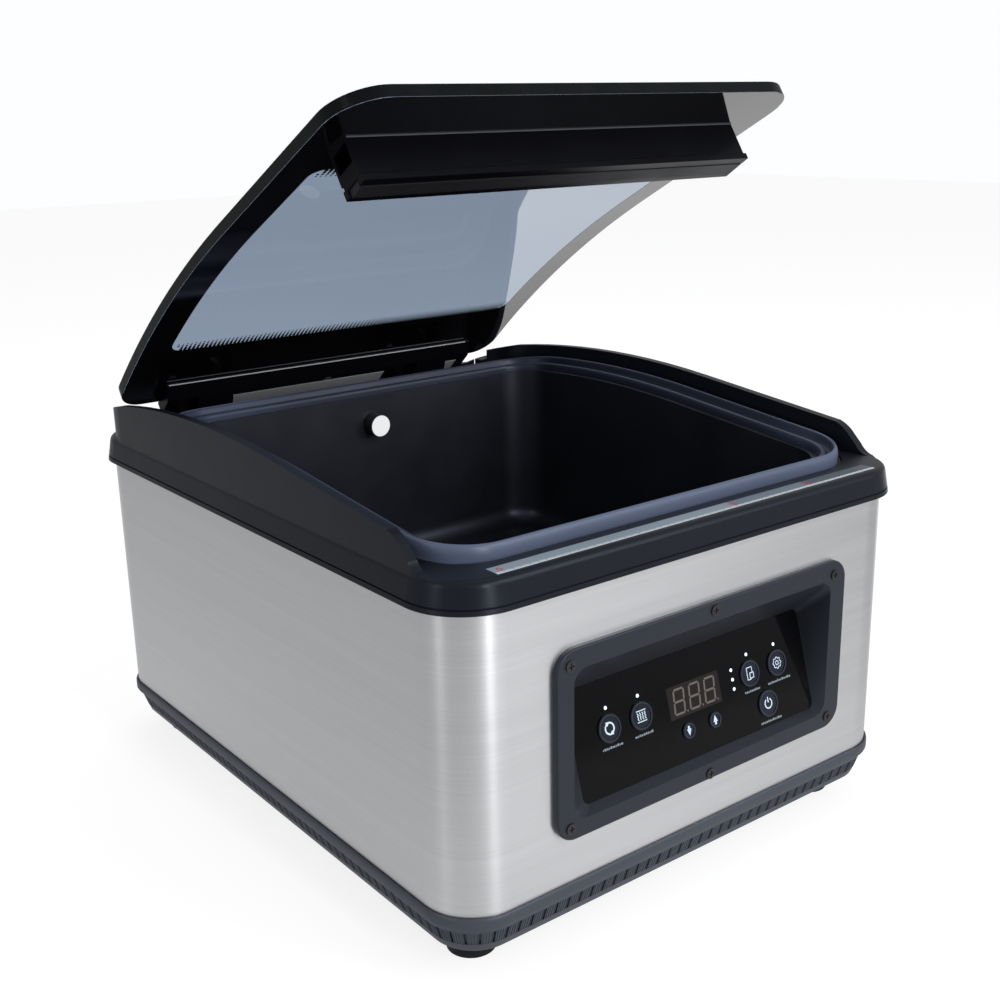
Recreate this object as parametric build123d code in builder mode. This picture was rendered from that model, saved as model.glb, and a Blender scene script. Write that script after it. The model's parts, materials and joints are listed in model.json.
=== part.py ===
from build123d import *
from math import atan2, cos, degrees, pi, radians, sin, sqrt, tan
import os

os.makedirs("parts", exist_ok=True)

# Driving dimensions, mm. X runs across the machine, -Y is its front and Z is up.
# Heights are drawn from a datum DATUM_Z above the worktop, and save() lifts each piece by that much.
DATUM_Z = 10.0
BODY_W = 345.0
BODY_D = 426.3
BODY_R = 32.0
SHEET_T = 1.0
FRONT_Y = -BODY_D / 2
TRAY_FOOT_Z = 5.0
FOOT_R = 15.2
FOOT_X = 139.7
FOOT_Y = 176.3
TRAY_TOP_Z = 30.3
LEDGE_Z = 24.0
SKIRT_Z = 197.9
LIP_Z = 214.6
SKIRT_FLARE = 4.8
SKIRT_TOP_FLARE = 1.8
WALL_OUT = 174.0
WALL_IN = 168.3
WALL_BACK_Y = 207.5
WALL_REAR_R = 45.0
BACK_WALL_Z = 222.3
DECK_LIP_Y = -154.0
DECK_T = 3.0

# The crown is the arched line that the lid and the side walls share: a straight front, then an arc.
CROWN_Y = 41.6
CROWN_Z = 249.3
CROWN_R = 836.0
CROWN_SLOPE = radians(5.89)
LID_T = 7.0
LID_HALF_W = 163.5
LID_FRONT_Y = -200.0
LID_REAR_Y = 186.0
LID_R = 28.0
LID_REAR_R = 18.0
DECK_DROP = 19.0
FLANGE_DROP = 17.0
GASKET_DROP = LID_T + 0.1

# The lid is modelled open, turned back about the hinge by OPEN from where it shuts.
OPEN = radians(33.0)
HINGE_Y = 196.0
HINGE_Z = 208.3
PIN_R = 4.0
BORE_R = 4.05
KNUCKLE_R = 9.0
KNUCKLE_X = 95.0
KNUCKLE_W = 28.0

TUB_HALF_W = 146.0
TUB_FRONT_Y = -176.0
TUB_BACK_Y = 125.0
TUB_R = 24.0
TUB_FLOOR_Z = 105.3
TUB_T = 2.0
GASKET_W = 11.0
GASKET_HALF_W = 161.0
GASKET_FRONT_Y = -191.0
GASKET_BACK_Y = 140.0
GASKET_R = 37.0

BAR_Y = -151.5
BAR_TOP_Z = 189.2
CYLINDER_X = 105.0

PANEL_X = 3.2
PANEL_W = 228.6
PANEL_H = 109.4
PANEL_Z = 111.5
PANEL_T = 3.5
MOUTH = (2.2, 110.8, 203.6, 87.0)
PLATE_TILT = radians(16.0)
PLATE_X = 6.0
PLATE_W = 188.0
PLATE_L = 62.7
PLATE_DEEP = 2.0
PLATE_FOOT_Z = 70.6
BIG_KEY_R = 8.2
SMALL_KEY_R = 4.8
KEY_GAP = 0.12
KEY_PROUD = 0.9

FAN_X = -90.0
FAN_Z = 110.0
SOCKET_X = 120.0
SWITCH_X = 82.0
REAR_Z = 75.0


def plan(z, half_w, y0, y1, radius):
    """A rounded rectangle lying flat at height z."""
    with BuildSketch(Plane.XY.offset(z)) as outline:
        with Locations((0, (y0 + y1) / 2)):
            RectangleRounded(2 * half_w, y1 - y0, radius)
    return outline.sketch


def crown_z(y, drop):
    """Height of the line that runs drop below the crown."""
    radius = CROWN_R - drop
    tangent_y = CROWN_Y - radius * sin(CROWN_SLOPE)
    reach = max(y, tangent_y) - CROWN_Y
    height = CROWN_Z - CROWN_R + sqrt(radius * radius - reach * reach)
    return height - max(0, tangent_y - y) * tan(CROWN_SLOPE)


def crown_section(plane, drop, y0, y1, floor):
    """The area between floor and the crown lowered by drop, seen from the side."""
    tangent_y = CROWN_Y - (CROWN_R - drop) * sin(CROWN_SLOPE)
    middle_y = (tangent_y + y1) / 2
    tangent = (tangent_y, crown_z(tangent_y, drop))
    back = (y1, crown_z(y1, drop))
    with BuildSketch(plane) as section:
        with BuildLine():
            Polyline(back, (y1, floor), (y0, floor), (y0, crown_z(y0, drop)), tangent)
            ThreePointArc(tangent, (middle_y, crown_z(middle_y, drop)), back)
        make_face()
    return section.sketch


def under_crown(plane, drop, y0, y1, floor):
    """Everything below the lowered crown, across the machine."""
    return extrude(crown_section(plane, drop, y0, y1, floor), amount=200, both=True)


def band(plane, top_drop, bottom_drop):
    """The curved slab between two lowered crowns."""
    upper = under_crown(plane, top_drop, -240, 240, 100)
    return upper - under_crown(plane, bottom_drop, -250, 250, 90)


def block(x0, x1, y0, y1, z0, z1):
    """A plain box between two corners."""
    centre = ((x0 + x1) / 2, (y0 + y1) / 2, (z0 + z1) / 2)
    return Pos(*centre) * Box(x1 - x0, y1 - y0, z1 - z0, mode=Mode.PRIVATE)


def lid_origin():
    """Where the shut lid's (0, 0) goes when the lid opens."""
    y = HINGE_Y - HINGE_Y * cos(OPEN) - HINGE_Z * sin(OPEN)
    z = HINGE_Z + HINGE_Y * sin(OPEN) - HINGE_Z * cos(OPEN)
    return (0, y, z)


# Shut-lid coordinates: LID_SIDE reads (y, z) and LID_TOP reads (x, y) as if the lid were closed.
LID_SIDE = Plane(origin=lid_origin(), x_dir=(0, cos(OPEN), -sin(OPEN)), z_dir=(1, 0, 0))
LID_TOP = Plane(origin=lid_origin(), x_dir=(1, 0, 0), z_dir=(0, sin(OPEN), cos(OPEN)))
SIDE = Plane.YZ
# The control plate leans back; its local (x, y) are across and up the plate from its lower edge.
PLATE = Plane(
    origin=(0, FRONT_Y + PLATE_DEEP, PLATE_FOOT_Z),
    x_dir=(1, 0, 0),
    z_dir=(0, -cos(PLATE_TILT), sin(PLATE_TILT)),
)
FRONT = Plane(origin=(0, FRONT_Y, 0), x_dir=(1, 0, 0), z_dir=(0, -1, 0))
REAR = Plane(origin=(0, -FRONT_Y, 0), x_dir=(-1, 0, 0), z_dir=(0, 1, 0))

BIG_KEYS = {"recirculate": (-61.5, 34.9), "seal": (-37.6, 34.9), "bag": (51.0, 34.9)}
BIG_KEYS["user"] = (75.1, 34.9)
BIG_KEYS["power"] = (61.9, 13.4)
SMALL_KEYS = {"down": (-4.6, 16.5), "up": (16.8, 16.5)}
KEY_LIGHTS = [(-61.5, 46.4), (-37.6, 46.4), (51.0, 46.4), (75.1, 46.4)]
LEVEL_LIGHTS = [(36.5, 40.7), (36.5, 35.0), (36.5, 29.3)]
DISPLAY = (4.7, 34.6)
PANEL_SCREWS = [(x, z) for x in (-102.1, 106.7) for z in (64.5, 157.4)] + [(3.5, 161.0), (3.5, 60.7)]


def save(part, name):
    part.label = name
    lifted = Pos(0, 0, DATUM_Z) * part
    lifted.label = name
    export_step(lifted, "parts/" + name + ".step")


# Base tray: a floor, a band that tapers in, and a bead that holds the foot of the steel sheet.
HALF_W = BODY_W / 2
HALF_D = BODY_D / 2
BEAD = 1.8
BAND_TOP = -0.4
BAND_FOOT = -6.5
BEAD_Z = 23.0
with BuildPart() as base_tray:
    band_taper = degrees(atan2(BAND_TOP - BAND_FOOT, BEAD_Z - TRAY_FOOT_Z))
    extrude(
        plan(TRAY_FOOT_Z, HALF_W + BAND_FOOT, -HALF_D - BAND_FOOT, HALF_D + BAND_FOOT, BODY_R + BAND_FOOT),
        amount=BEAD_Z - TRAY_FOOT_Z,
        taper=-band_taper,
    )
    fillet(base_tray.faces().sort_by(Axis.Z)[0].edges(), 2.5)
    extrude(
        plan(BEAD_Z, HALF_W + BEAD, -HALF_D - BEAD, HALF_D + BEAD, BODY_R + BEAD),
        amount=TRAY_TOP_Z - BEAD_Z,
    )
    rim = base_tray.faces().sort_by(Axis.Z)[-1].edges()
    fillet(rim, 1.6)
    extrude(
        plan(TRAY_FOOT_Z + 3, HALF_W - 9, -HALF_D + 9, HALF_D - 9, BODY_R - 9),
        amount=30,
        mode=Mode.SUBTRACT,
    )
    extrude(
        plan(BEAD_Z - 1, HALF_W - 4, -HALF_D + 4, HALF_D - 4, BODY_R - 4),
        amount=30,
        mode=Mode.SUBTRACT,
    )
    extrude(
        plan(LEDGE_Z, HALF_W + 0.05, -HALF_D - 0.05, HALF_D + 0.05, BODY_R + 0.05),
        amount=10,
        mode=Mode.SUBTRACT,
    )
    with Locations((0, 0, TRAY_FOOT_Z + 2)):
        with GridLocations(2 * FOOT_X, 2 * FOOT_Y, 2, 2):
            Cylinder(2.2, 20, mode=Mode.SUBTRACT)
save(base_tray.part, "base_tray")

SCREW_SEAT_Z = 2.0
with BuildPart() as rubber_feet:
    with BuildSketch(Plane.XY.offset(TRAY_FOOT_Z)):
        with GridLocations(2 * FOOT_X, 2 * FOOT_Y, 2, 2):
            Circle(FOOT_R)
            Circle(2.2, mode=Mode.SUBTRACT)
    extrude(amount=-TRAY_FOOT_Z - DATUM_Z, taper=5)
    with BuildSketch(Plane.XY.offset(SCREW_SEAT_Z)):
        with GridLocations(2 * FOOT_X, 2 * FOOT_Y, 2, 2):
            Circle(5.0)
    extrude(amount=-20, mode=Mode.SUBTRACT)
save(rubber_feet.part, "rubber_feet")

with BuildPart() as foot_screws:
    with BuildSketch(Plane.XY.offset(SCREW_SEAT_Z)):
        with GridLocations(2 * FOOT_X, 2 * FOOT_Y, 2, 2):
            Circle(4.2)
    extrude(amount=-2.4)
    with BuildSketch(Plane.XY.offset(SCREW_SEAT_Z)):
        with GridLocations(2 * FOOT_X, 2 * FOOT_Y, 2, 2):
            Circle(2.0)
    extrude(amount=13)
save(foot_screws.part, "foot_screws")

# Steel sheet: one bent wrap, open above and below.
STEEL_TOP_Z = 211.4
with BuildPart() as steel_wrap:
    extrude(
        plan(LEDGE_Z, HALF_W, -HALF_D, HALF_D, BODY_R),
        amount=STEEL_TOP_Z - LEDGE_Z,
    )
    extrude(
        plan(LEDGE_Z, HALF_W - SHEET_T, -HALF_D + SHEET_T, HALF_D - SHEET_T, BODY_R - SHEET_T),
        amount=STEEL_TOP_Z - LEDGE_Z,
        mode=Mode.SUBTRACT,
    )
    # Opening behind the control frame, and its screw holes.
    with BuildSketch(FRONT):
        with Locations((MOUTH[0], MOUTH[1])):
            RectangleRounded(MOUTH[2] + 5, MOUTH[3] + 5, 12)
        with Locations(*PANEL_SCREWS):
            Circle(1.65)
    extrude(amount=-5, mode=Mode.SUBTRACT)
    # Rear cut-outs: air slots in front of the fan, mains inlet and mains switch.
    with BuildSketch(REAR):
        with Locations((-FAN_X, FAN_Z)):
            with GridLocations(0, 9, 1, 8):
                SlotOverall(66, 4.5)
        with Locations((-SOCKET_X, REAR_Z)):
            Rectangle(28.4, 20.4)
        with Locations((-SWITCH_X, REAR_Z)):
            Rectangle(15.4, 22.4)
    extrude(amount=-5, mode=Mode.SUBTRACT)
save(steel_wrap.part, "steel_wrap")

# Top cover: flared skirt, flat lip, raised deck and arched side walls.
SKIRT_H = LIP_Z - SKIRT_Z
wall_outline = plan(LIP_Z - 5, WALL_OUT, -HALF_D - 1.5, HALF_D + 1.5, BODY_R + 1.5)
rear_outline = plan(LIP_Z - 5, WALL_OUT, -300, HALF_D + 1.5, WALL_REAR_R)
with BuildSketch(SIDE) as wall_profile:
    with BuildLine():
        top_front = (-163.0, crown_z(-163.0, 0))
        waist = (-174.7, 225.3)
        ankle = (-180.2, 220.1)
        heel = (-190.0, LIP_Z)
        shoulder = (165.0, crown_z(165.0, 0))
        tangent_y = CROWN_Y - CROWN_R * sin(CROWN_SLOPE)
        tangent = (tangent_y, crown_z(tangent_y, 0))
        back = (HALF_D + 2, 227.0)
        Polyline(back, (back[0], LIP_Z - 5), (-206.0, LIP_Z - 5), heel)
        ThreePointArc(heel, (-184.8, 216.0), ankle)
        Line(ankle, waist)
        ThreePointArc(waist, (-169.8, 229.5), top_front)
        Line(top_front, tangent)
        ThreePointArc(tangent, (60.0, crown_z(60.0, 0)), shoulder)
        ThreePointArc(shoulder, (192.0, 233.9), back)
    make_face()
crown_body = extrude(wall_outline, amount=50) & extrude(wall_profile.sketch, amount=200, both=True)
crown_body = crown_body & extrude(rear_outline, amount=50)
wide_bay = extrude(plan(LIP_Z - 12, WALL_IN, -300, WALL_BACK_Y, 40), amount=80)
wide_bay = wide_bay & block(-200, 200, DECK_LIP_Y, 240, 100, 400)
bay = wide_bay + extrude(plan(LIP_Z - 12, 163.6, -193.2, 100, 38.6), amount=80)
bay = bay - under_crown(SIDE, DECK_DROP, -240, 240, 100)
# The middle of the back wall is low, with sloping shoulders.
with BuildSketch(REAR) as back_gap:
    with BuildLine():
        Polyline(
            (-164, 228),
            (-150, BACK_WALL_Z),
            (150, BACK_WALL_Z),
            (164, 228),
            (164, 300),
            (-164, 300),
            close=True,
        )
    make_face()
back_cut = extrude(back_gap.sketch, amount=20, both=True)
hollow = extrude(plan(LIP_Z - 20, 162, -166, 143, 20), amount=60)
hollow = hollow & under_crown(SIDE, DECK_DROP + DECK_T, -200, 200, 100)

groove_out = extrude(plan(SKIRT_Z + 2.6, HALF_W + 9, -HALF_D - 9, HALF_D + 9, BODY_R + 9), amount=1.0)
groove_in = extrude(plan(SKIRT_Z + 2.0, HALF_W + 3.4, -HALF_D - 3.4, HALF_D + 3.4, BODY_R + 3.4), amount=3.0)
skirt_groove = groove_out - groove_in

POCKET_X0 = 64.0
POCKET_X1 = 126.0
POCKET_Y0 = 178.0
POCKET_Z = 197.0
pockets = [(POCKET_X0, POCKET_X1), (-POCKET_X1, -POCKET_X0)]
with BuildPart() as top_cover:
    skirt_taper = degrees(atan2(SKIRT_FLARE - SKIRT_TOP_FLARE, SKIRT_H))
    extrude(
        plan(
            SKIRT_Z,
            HALF_W + SKIRT_FLARE,
            -HALF_D - SKIRT_FLARE,
            HALF_D + SKIRT_FLARE,
            BODY_R + SKIRT_FLARE,
        ),
        amount=SKIRT_H,
        taper=skirt_taper,
    )
    fillet(top_cover.faces().sort_by(Axis.Z)[-1].edges(), 4.0)
    add(crown_body)
    add(bay, mode=Mode.SUBTRACT)
    # Clear the lip in front of the gasket, the hinge trough and the low middle of the back wall.
    add(block(-WALL_IN, WALL_IN, -230, DECK_LIP_Y, LIP_Z, 300), mode=Mode.SUBTRACT)
    add(block(-156, 156, 146, 206, LIP_Z, 300), mode=Mode.SUBTRACT)
    add(back_cut, mode=Mode.SUBTRACT)
    # Groove above the bead along the skirt's foot.
    add(skirt_groove, mode=Mode.SUBTRACT)
    extrude(
        plan(100, HALF_W + 0.1, -HALF_D - 0.1, HALF_D + 0.1, BODY_R + 0.1),
        amount=LIP_Z - DECK_T - 100,
        mode=Mode.SUBTRACT,
    )
    add(hollow, mode=Mode.SUBTRACT)
    for x0, x1 in pockets:
        add(block(x0 - 2.5, x1 + 2.5, POCKET_Y0 - 2.5, 210.5, POCKET_Z - 2.5, LIP_Z))
        add(block(x0, x1, POCKET_Y0, WALL_BACK_Y, POCKET_Z, LIP_Z + 5), mode=Mode.SUBTRACT)
    # Mouth of the tub.
    extrude(
        plan(100, TUB_HALF_W + 2.3, TUB_FRONT_Y - 2.3, TUB_BACK_Y + 2.3, TUB_R + 2.3),
        amount=200,
        mode=Mode.SUBTRACT,
    )
save(top_cover.part, "top_cover")

# Tub: rounded box whose rim and flange follow the crown.
tub_body = extrude(
    plan(
        TUB_FLOOR_Z - TUB_T,
        TUB_HALF_W + TUB_T,
        TUB_FRONT_Y - TUB_T,
        TUB_BACK_Y + TUB_T,
        TUB_R + TUB_T,
    ),
    amount=150,
)
tub_body = tub_body & under_crown(SIDE, FLANGE_DROP, -240, 240, 90)
flange = extrude(plan(150, 163, -192.6, 142, 38), amount=150) & band(SIDE, FLANGE_DROP, DECK_DROP - 0.02)
hollow_shape = extrude(
    plan(TUB_FLOOR_Z, TUB_HALF_W, TUB_FRONT_Y, TUB_BACK_Y, TUB_R),
    amount=200,
)
KNOB_X = 1.0
KNOB_Z = 207.3
with BuildPart() as chamber:
    add(tub_body)
    floor_edges = chamber.faces().sort_by(Axis.Z)[0].edges()
    fillet(floor_edges, 14)
    add(flange)
    with BuildPart(mode=Mode.PRIVATE) as inner:
        add(hollow_shape)
        fillet(inner.faces().sort_by(Axis.Z)[0].edges(), 12)
    add(inner.part, mode=Mode.SUBTRACT)
    with BuildSketch(Plane(origin=(0, TUB_BACK_Y - 5, 0), x_dir=(1, 0, 0), z_dir=(0, -1, 0))):
        with Locations((KNOB_X, KNOB_Z)):
            Circle(3.2)
    extrude(amount=-20, mode=Mode.SUBTRACT)
    with Locations((-CYLINDER_X, BAR_Y, TUB_FLOOR_Z), (CYLINDER_X, BAR_Y, TUB_FLOOR_Z)):
        Cylinder(4.2, 20, mode=Mode.SUBTRACT)
save(chamber.part, "chamber")


def ring(z, inset_out, inset_in, height):
    """A ring that follows the gasket's outline between two insets from its outer edge."""
    outer = plan(
        z,
        GASKET_HALF_W - inset_out,
        GASKET_FRONT_Y + inset_out,
        GASKET_BACK_Y - inset_out,
        GASKET_R - inset_out,
    )
    inner = plan(
        z,
        GASKET_HALF_W - inset_in,
        GASKET_FRONT_Y + inset_in,
        GASKET_BACK_Y - inset_in,
        GASKET_R - inset_in,
    )
    return extrude(outer, amount=height) - extrude(inner, amount=height)


gasket_body = ring(150, 0, GASKET_W, 150) & band(SIDE, GASKET_DROP + 5.5, FLANGE_DROP)
gasket_lip = ring(150, 0.3, 3.3, 150) & band(SIDE, GASKET_DROP, GASKET_DROP + 5.5)
gasket_bead = ring(150, 7.2, 10.6, 150) & band(SIDE, GASKET_DROP + 4.0, GASKET_DROP + 5.5)
with BuildPart() as chamber_gasket:
    add(gasket_body)
    add(gasket_lip)
    add(gasket_bead)
save(chamber_gasket.part, "chamber_gasket")

with BuildPart() as ruler_label:
    add(block(-142.3, 148.0, FRONT_Y + 3.0, FRONT_Y + 12.5, LIP_Z, LIP_Z + 0.3))
save(ruler_label.part, "ruler_label")

# Control frame: a flat rim with a funnel that narrows to the tilted plate.
with BuildSketch(FRONT.offset(PANEL_T)) as mouth_in:
    with Locations((MOUTH[0], MOUTH[1])):
        RectangleRounded(MOUTH[2], MOUTH[3], 9)
with BuildSketch(FRONT.offset(PANEL_T)) as mouth_out:
    with Locations((MOUTH[0], MOUTH[1])):
        RectangleRounded(MOUTH[2] + 4, MOUTH[3] + 4, 11)
with BuildSketch(PLATE) as throat_in:
    with Locations((PLATE_X, PLATE_L / 2)):
        RectangleRounded(PLATE_W, PLATE_L, 4)
with BuildSketch(PLATE.offset(-3)) as throat_out:
    with Locations((PLATE_X, PLATE_L / 2)):
        RectangleRounded(PLATE_W + 4, PLATE_L + 4, 6)
funnel_out = loft([mouth_out.sketch.faces()[0], throat_out.sketch.faces()[0]])
funnel_in = loft([mouth_in.sketch.faces()[0], throat_in.sketch.faces()[0]])
with BuildPart() as panel_bezel:
    with BuildSketch(FRONT):
        with Locations((PANEL_X, PANEL_Z)):
            RectangleRounded(PANEL_W, PANEL_H, 13)
    extrude(amount=PANEL_T)
    fillet(panel_bezel.faces().sort_by(Axis.Y)[0].edges(), 1.2)
    add(funnel_out)
    add(funnel_in, mode=Mode.SUBTRACT)
    extrude(throat_in.sketch, amount=-10, mode=Mode.SUBTRACT)
    with BuildSketch(FRONT.offset(PANEL_T)):
        with Locations(*PANEL_SCREWS):
            Circle(1.65)
    extrude(amount=-8, mode=Mode.SUBTRACT)
save(panel_bezel.part, "panel_bezel")

with BuildPart() as bezel_screws:
    with BuildSketch(FRONT.offset(PANEL_T)):
        with Locations(*PANEL_SCREWS):
            Circle(3.2)
    extrude(amount=0.8)
    with BuildSketch(FRONT.offset(PANEL_T + 0.8)):
        with Locations(*PANEL_SCREWS):
            Rectangle(3.8, 0.8)
            Rectangle(0.8, 3.8)
    extrude(amount=-0.7, mode=Mode.SUBTRACT)
    with BuildSketch(FRONT.offset(PANEL_T)):
        with Locations(*PANEL_SCREWS):
            Circle(1.5)
    extrude(amount=-9)
save(bezel_screws.part, "bezel_screws")

with BuildPart() as panel_plate:
    with BuildSketch(PLATE):
        with Locations((PLATE_X, PLATE_L / 2)):
            RectangleRounded(PLATE_W - 0.2, PLATE_L - 0.2, 3.9)
        with Locations(*BIG_KEYS.values()):
            Circle(BIG_KEY_R + KEY_GAP, mode=Mode.SUBTRACT)
        with Locations(*SMALL_KEYS.values()):
            Circle(SMALL_KEY_R + KEY_GAP, mode=Mode.SUBTRACT)
        with Locations(*KEY_LIGHTS, *LEVEL_LIGHTS):
            Circle(1.05, mode=Mode.SUBTRACT)
        with Locations(DISPLAY):
            Rectangle(42.0, 19.0, mode=Mode.SUBTRACT)
    extrude(amount=-2.5)
save(panel_plate.part, "panel_plate")

with BuildPart() as display_module:
    with BuildSketch(PLATE.offset(-0.05)):
        with Locations(DISPLAY):
            Rectangle(41.8, 18.8)
    extrude(amount=-8)
save(display_module.part, "display_module")

with BuildPart() as indicator_lights:
    with BuildSketch(PLATE.offset(0.1)):
        with Locations(*KEY_LIGHTS, *LEVEL_LIGHTS):
            Circle(1.0)
    extrude(amount=-6)
save(indicator_lights.part, "indicator_lights")

with BuildPart() as control_board:
    with BuildSketch(PLATE.offset(-8.1)):
        with Locations((PLATE_X, PLATE_L / 2)):
            Rectangle(PLATE_W - 6, PLATE_L - 6)
    extrude(amount=-1.6)
    with BuildSketch(PLATE.offset(-9.7)):
        with Locations((-50, 30), (20, 40), (60, 22)):
            Rectangle(16, 12)
    extrude(amount=-4)
save(control_board.part, "control_board")


def key(position, radius):
    """One round push key with a shallow dished face."""
    with BuildPart() as body:
        with BuildSketch(PLATE.offset(KEY_PROUD)):
            with Locations(position):
                Circle(radius)
        extrude(amount=-5)
        with BuildSketch(PLATE.offset(KEY_PROUD)):
            with Locations(position):
                Circle(radius - 1.0)
        extrude(amount=-0.4, mode=Mode.SUBTRACT)
    return body.part


for key_name, key_position in BIG_KEYS.items():
    save(key(key_position, BIG_KEY_R), "button_" + key_name)
for key_name, key_position in SMALL_KEYS.items():
    save(key(key_position, SMALL_KEY_R), "button_" + key_name)

# Knob on the tub's rear wall and the suction fitting behind it.
KNOB = Plane(origin=(KNOB_X, TUB_BACK_Y, KNOB_Z), x_dir=(1, 0, 0), z_dir=(0, -1, 0))
with BuildPart() as wall_knob:
    with BuildSketch(KNOB.offset(0.05)):
        Circle(4.5)
    extrude(amount=1.5)
    with BuildSketch(KNOB.offset(1.5)):
        Circle(8.1)
    extrude(amount=9.5)
    fillet(wall_knob.faces().sort_by(Axis.Y)[0].edges(), 0.8)
    with BuildSketch(KNOB.offset(0.05)):
        Circle(3.0)
    extrude(amount=-16)
save(wall_knob.part, "wall_knob")

with BuildPart() as vacuum_port:
    with BuildSketch(KNOB.offset(-TUB_T - 0.05)):
        Circle(9.0)
        Circle(3.1, mode=Mode.SUBTRACT)
    extrude(amount=-6)
    with BuildSketch(KNOB.offset(-TUB_T - 6)):
        Circle(5.5)
        Circle(3.1, mode=Mode.SUBTRACT)
    extrude(amount=-9)
save(vacuum_port.part, "vacuum_port")

# Seal bar on two lift cylinders.
BAR_HALF_L = 132.0
BAR_HALF_D = 9.0
BAR_H = 13.2
WIRE_T = 0.25
TAPE_T = 0.2
PIN_FOOT_Z = 122.0
LIFT_TOP_Z = 165.0
bar_centres = [(-CYLINDER_X, BAR_Y), (CYLINDER_X, BAR_Y)]
with BuildPart() as seal_bar:
    add(block(-BAR_HALF_L, BAR_HALF_L, BAR_Y - BAR_HALF_D, BAR_Y + BAR_HALF_D, BAR_TOP_Z - BAR_H, BAR_TOP_Z))
    chamfer(seal_bar.edges().filter_by(Axis.X).sort_by(Axis.Z)[-2:], 1.5)
save(seal_bar.part, "seal_bar")

with BuildPart() as heating_wire:
    add(block(-126, 126, BAR_Y - 2.5, BAR_Y + 2.5, BAR_TOP_Z, BAR_TOP_Z + WIRE_T))
save(heating_wire.part, "heating_wire")

with BuildPart() as ptfe_tape:
    add(block(-128, 128, BAR_Y - 7, BAR_Y + 7, BAR_TOP_Z + WIRE_T, BAR_TOP_Z + WIRE_T + TAPE_T))
save(ptfe_tape.part, "ptfe_tape")

with BuildPart() as lift_pins:
    with BuildSketch(Plane.XY.offset(PIN_FOOT_Z)):
        with Locations(*bar_centres):
            Circle(4.0)
    extrude(amount=BAR_TOP_Z - BAR_H - PIN_FOOT_Z)
save(lift_pins.part, "lift_pins")

with BuildPart() as lift_cylinders:
    with BuildSketch(Plane.XY.offset(TUB_FLOOR_Z)):
        with Locations(*bar_centres):
            Circle(11.0)
    extrude(amount=LIFT_TOP_Z - TUB_FLOOR_Z)
    with BuildSketch(Plane.XY.offset(TUB_FLOOR_Z - 14)):
        with Locations(*bar_centres):
            Circle(4.0)
    extrude(amount=14)
    with BuildSketch(Plane.XY.offset(PIN_FOOT_Z - 4)):
        with Locations(*bar_centres):
            Circle(BORE_R)
    extrude(amount=100, mode=Mode.SUBTRACT)
save(lift_cylinders.part, "lift_cylinders")

# Lid parts, all drawn shut and placed on the opened planes.
with BuildSketch(LID_TOP) as lid_front:
    with Locations((0, (LID_FRONT_Y + 240) / 2)):
        RectangleRounded(2 * LID_HALF_W, 240 - LID_FRONT_Y, LID_R)
with BuildSketch(LID_TOP) as lid_rear:
    with Locations((0, (LID_REAR_Y - 240) / 2)):
        RectangleRounded(2 * LID_HALF_W, LID_REAR_Y + 240, LID_REAR_R)
lid_shape = band(LID_SIDE, 0, LID_T) & extrude(lid_front.sketch, amount=300)
lid_shape = lid_shape & extrude(lid_rear.sketch, amount=300)
with BuildPart() as lid_glass:
    add(lid_shape)
save(lid_glass.part, "lid_glass")

HINGE_BAR_X = 132.0
HINGE_BAR_Y0 = 163.0
HINGE_BAR_Y1 = 188.0
with BuildSketch(LID_SIDE) as hinge_bar_profile:
    with BuildLine():
        Polyline(
            (HINGE_BAR_Y0, crown_z(HINGE_BAR_Y0, LID_T + 0.02)),
            (HINGE_BAR_Y0, crown_z(HINGE_BAR_Y0, LID_T + 2.2)),
            (HINGE_BAR_Y0 + 8, crown_z(HINGE_BAR_Y0 + 8, LID_T + 9)),
            (HINGE_BAR_Y1, crown_z(HINGE_BAR_Y1, LID_T + 9)),
            (HINGE_BAR_Y1, crown_z(HINGE_BAR_Y1, LID_T + 0.02)),
        )
        ThreePointArc(
            (HINGE_BAR_Y1, crown_z(HINGE_BAR_Y1, LID_T + 0.02)),
            (HINGE_BAR_Y1 - 12, crown_z(HINGE_BAR_Y1 - 12, LID_T + 0.02)),
            (HINGE_BAR_Y0, crown_z(HINGE_BAR_Y0, LID_T + 0.02)),
        )
    make_face()
with BuildSketch(LID_SIDE) as knuckle_profile:
    with BuildLine():
        Polyline(
            (170, 223),
            (188, 223),
            (HINGE_Y + KNUCKLE_R, HINGE_Z),
            (HINGE_Y - KNUCKLE_R, HINGE_Z),
            close=True,
        )
    make_face()
    with Locations((HINGE_Y, HINGE_Z)):
        Circle(KNUCKLE_R)
with BuildSketch(LID_SIDE) as knuckle_bore:
    with Locations((HINGE_Y, HINGE_Z)):
        Circle(BORE_R)
MAGNET = Plane(origin=LID_TOP.from_local_coords((0, 176, 219)), x_dir=(1, 0, 0), z_dir=LID_TOP.z_dir)
bar_shape = extrude(hinge_bar_profile.sketch, amount=HINGE_BAR_X, both=True)
knuckle_shape = extrude(knuckle_profile.sketch, amount=KNUCKLE_W / 2, both=True)
with BuildPart() as hinge_bar:
    add(bar_shape)
    for side in (-1, 1):
        add(Pos(side * KNUCKLE_X, 0, 0) * knuckle_shape)
    extrude(knuckle_bore.sketch, amount=150, both=True, mode=Mode.SUBTRACT)
    with BuildSketch(MAGNET):
        Circle(4.1)
    extrude(amount=8, mode=Mode.SUBTRACT)
save(hinge_bar.part, "hinge_bar")

with BuildPart() as sensor_magnet:
    with BuildSketch(MAGNET.offset(4)):
        Circle(4.0)
    extrude(amount=3.9)
save(sensor_magnet.part, "sensor_magnet")

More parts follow.
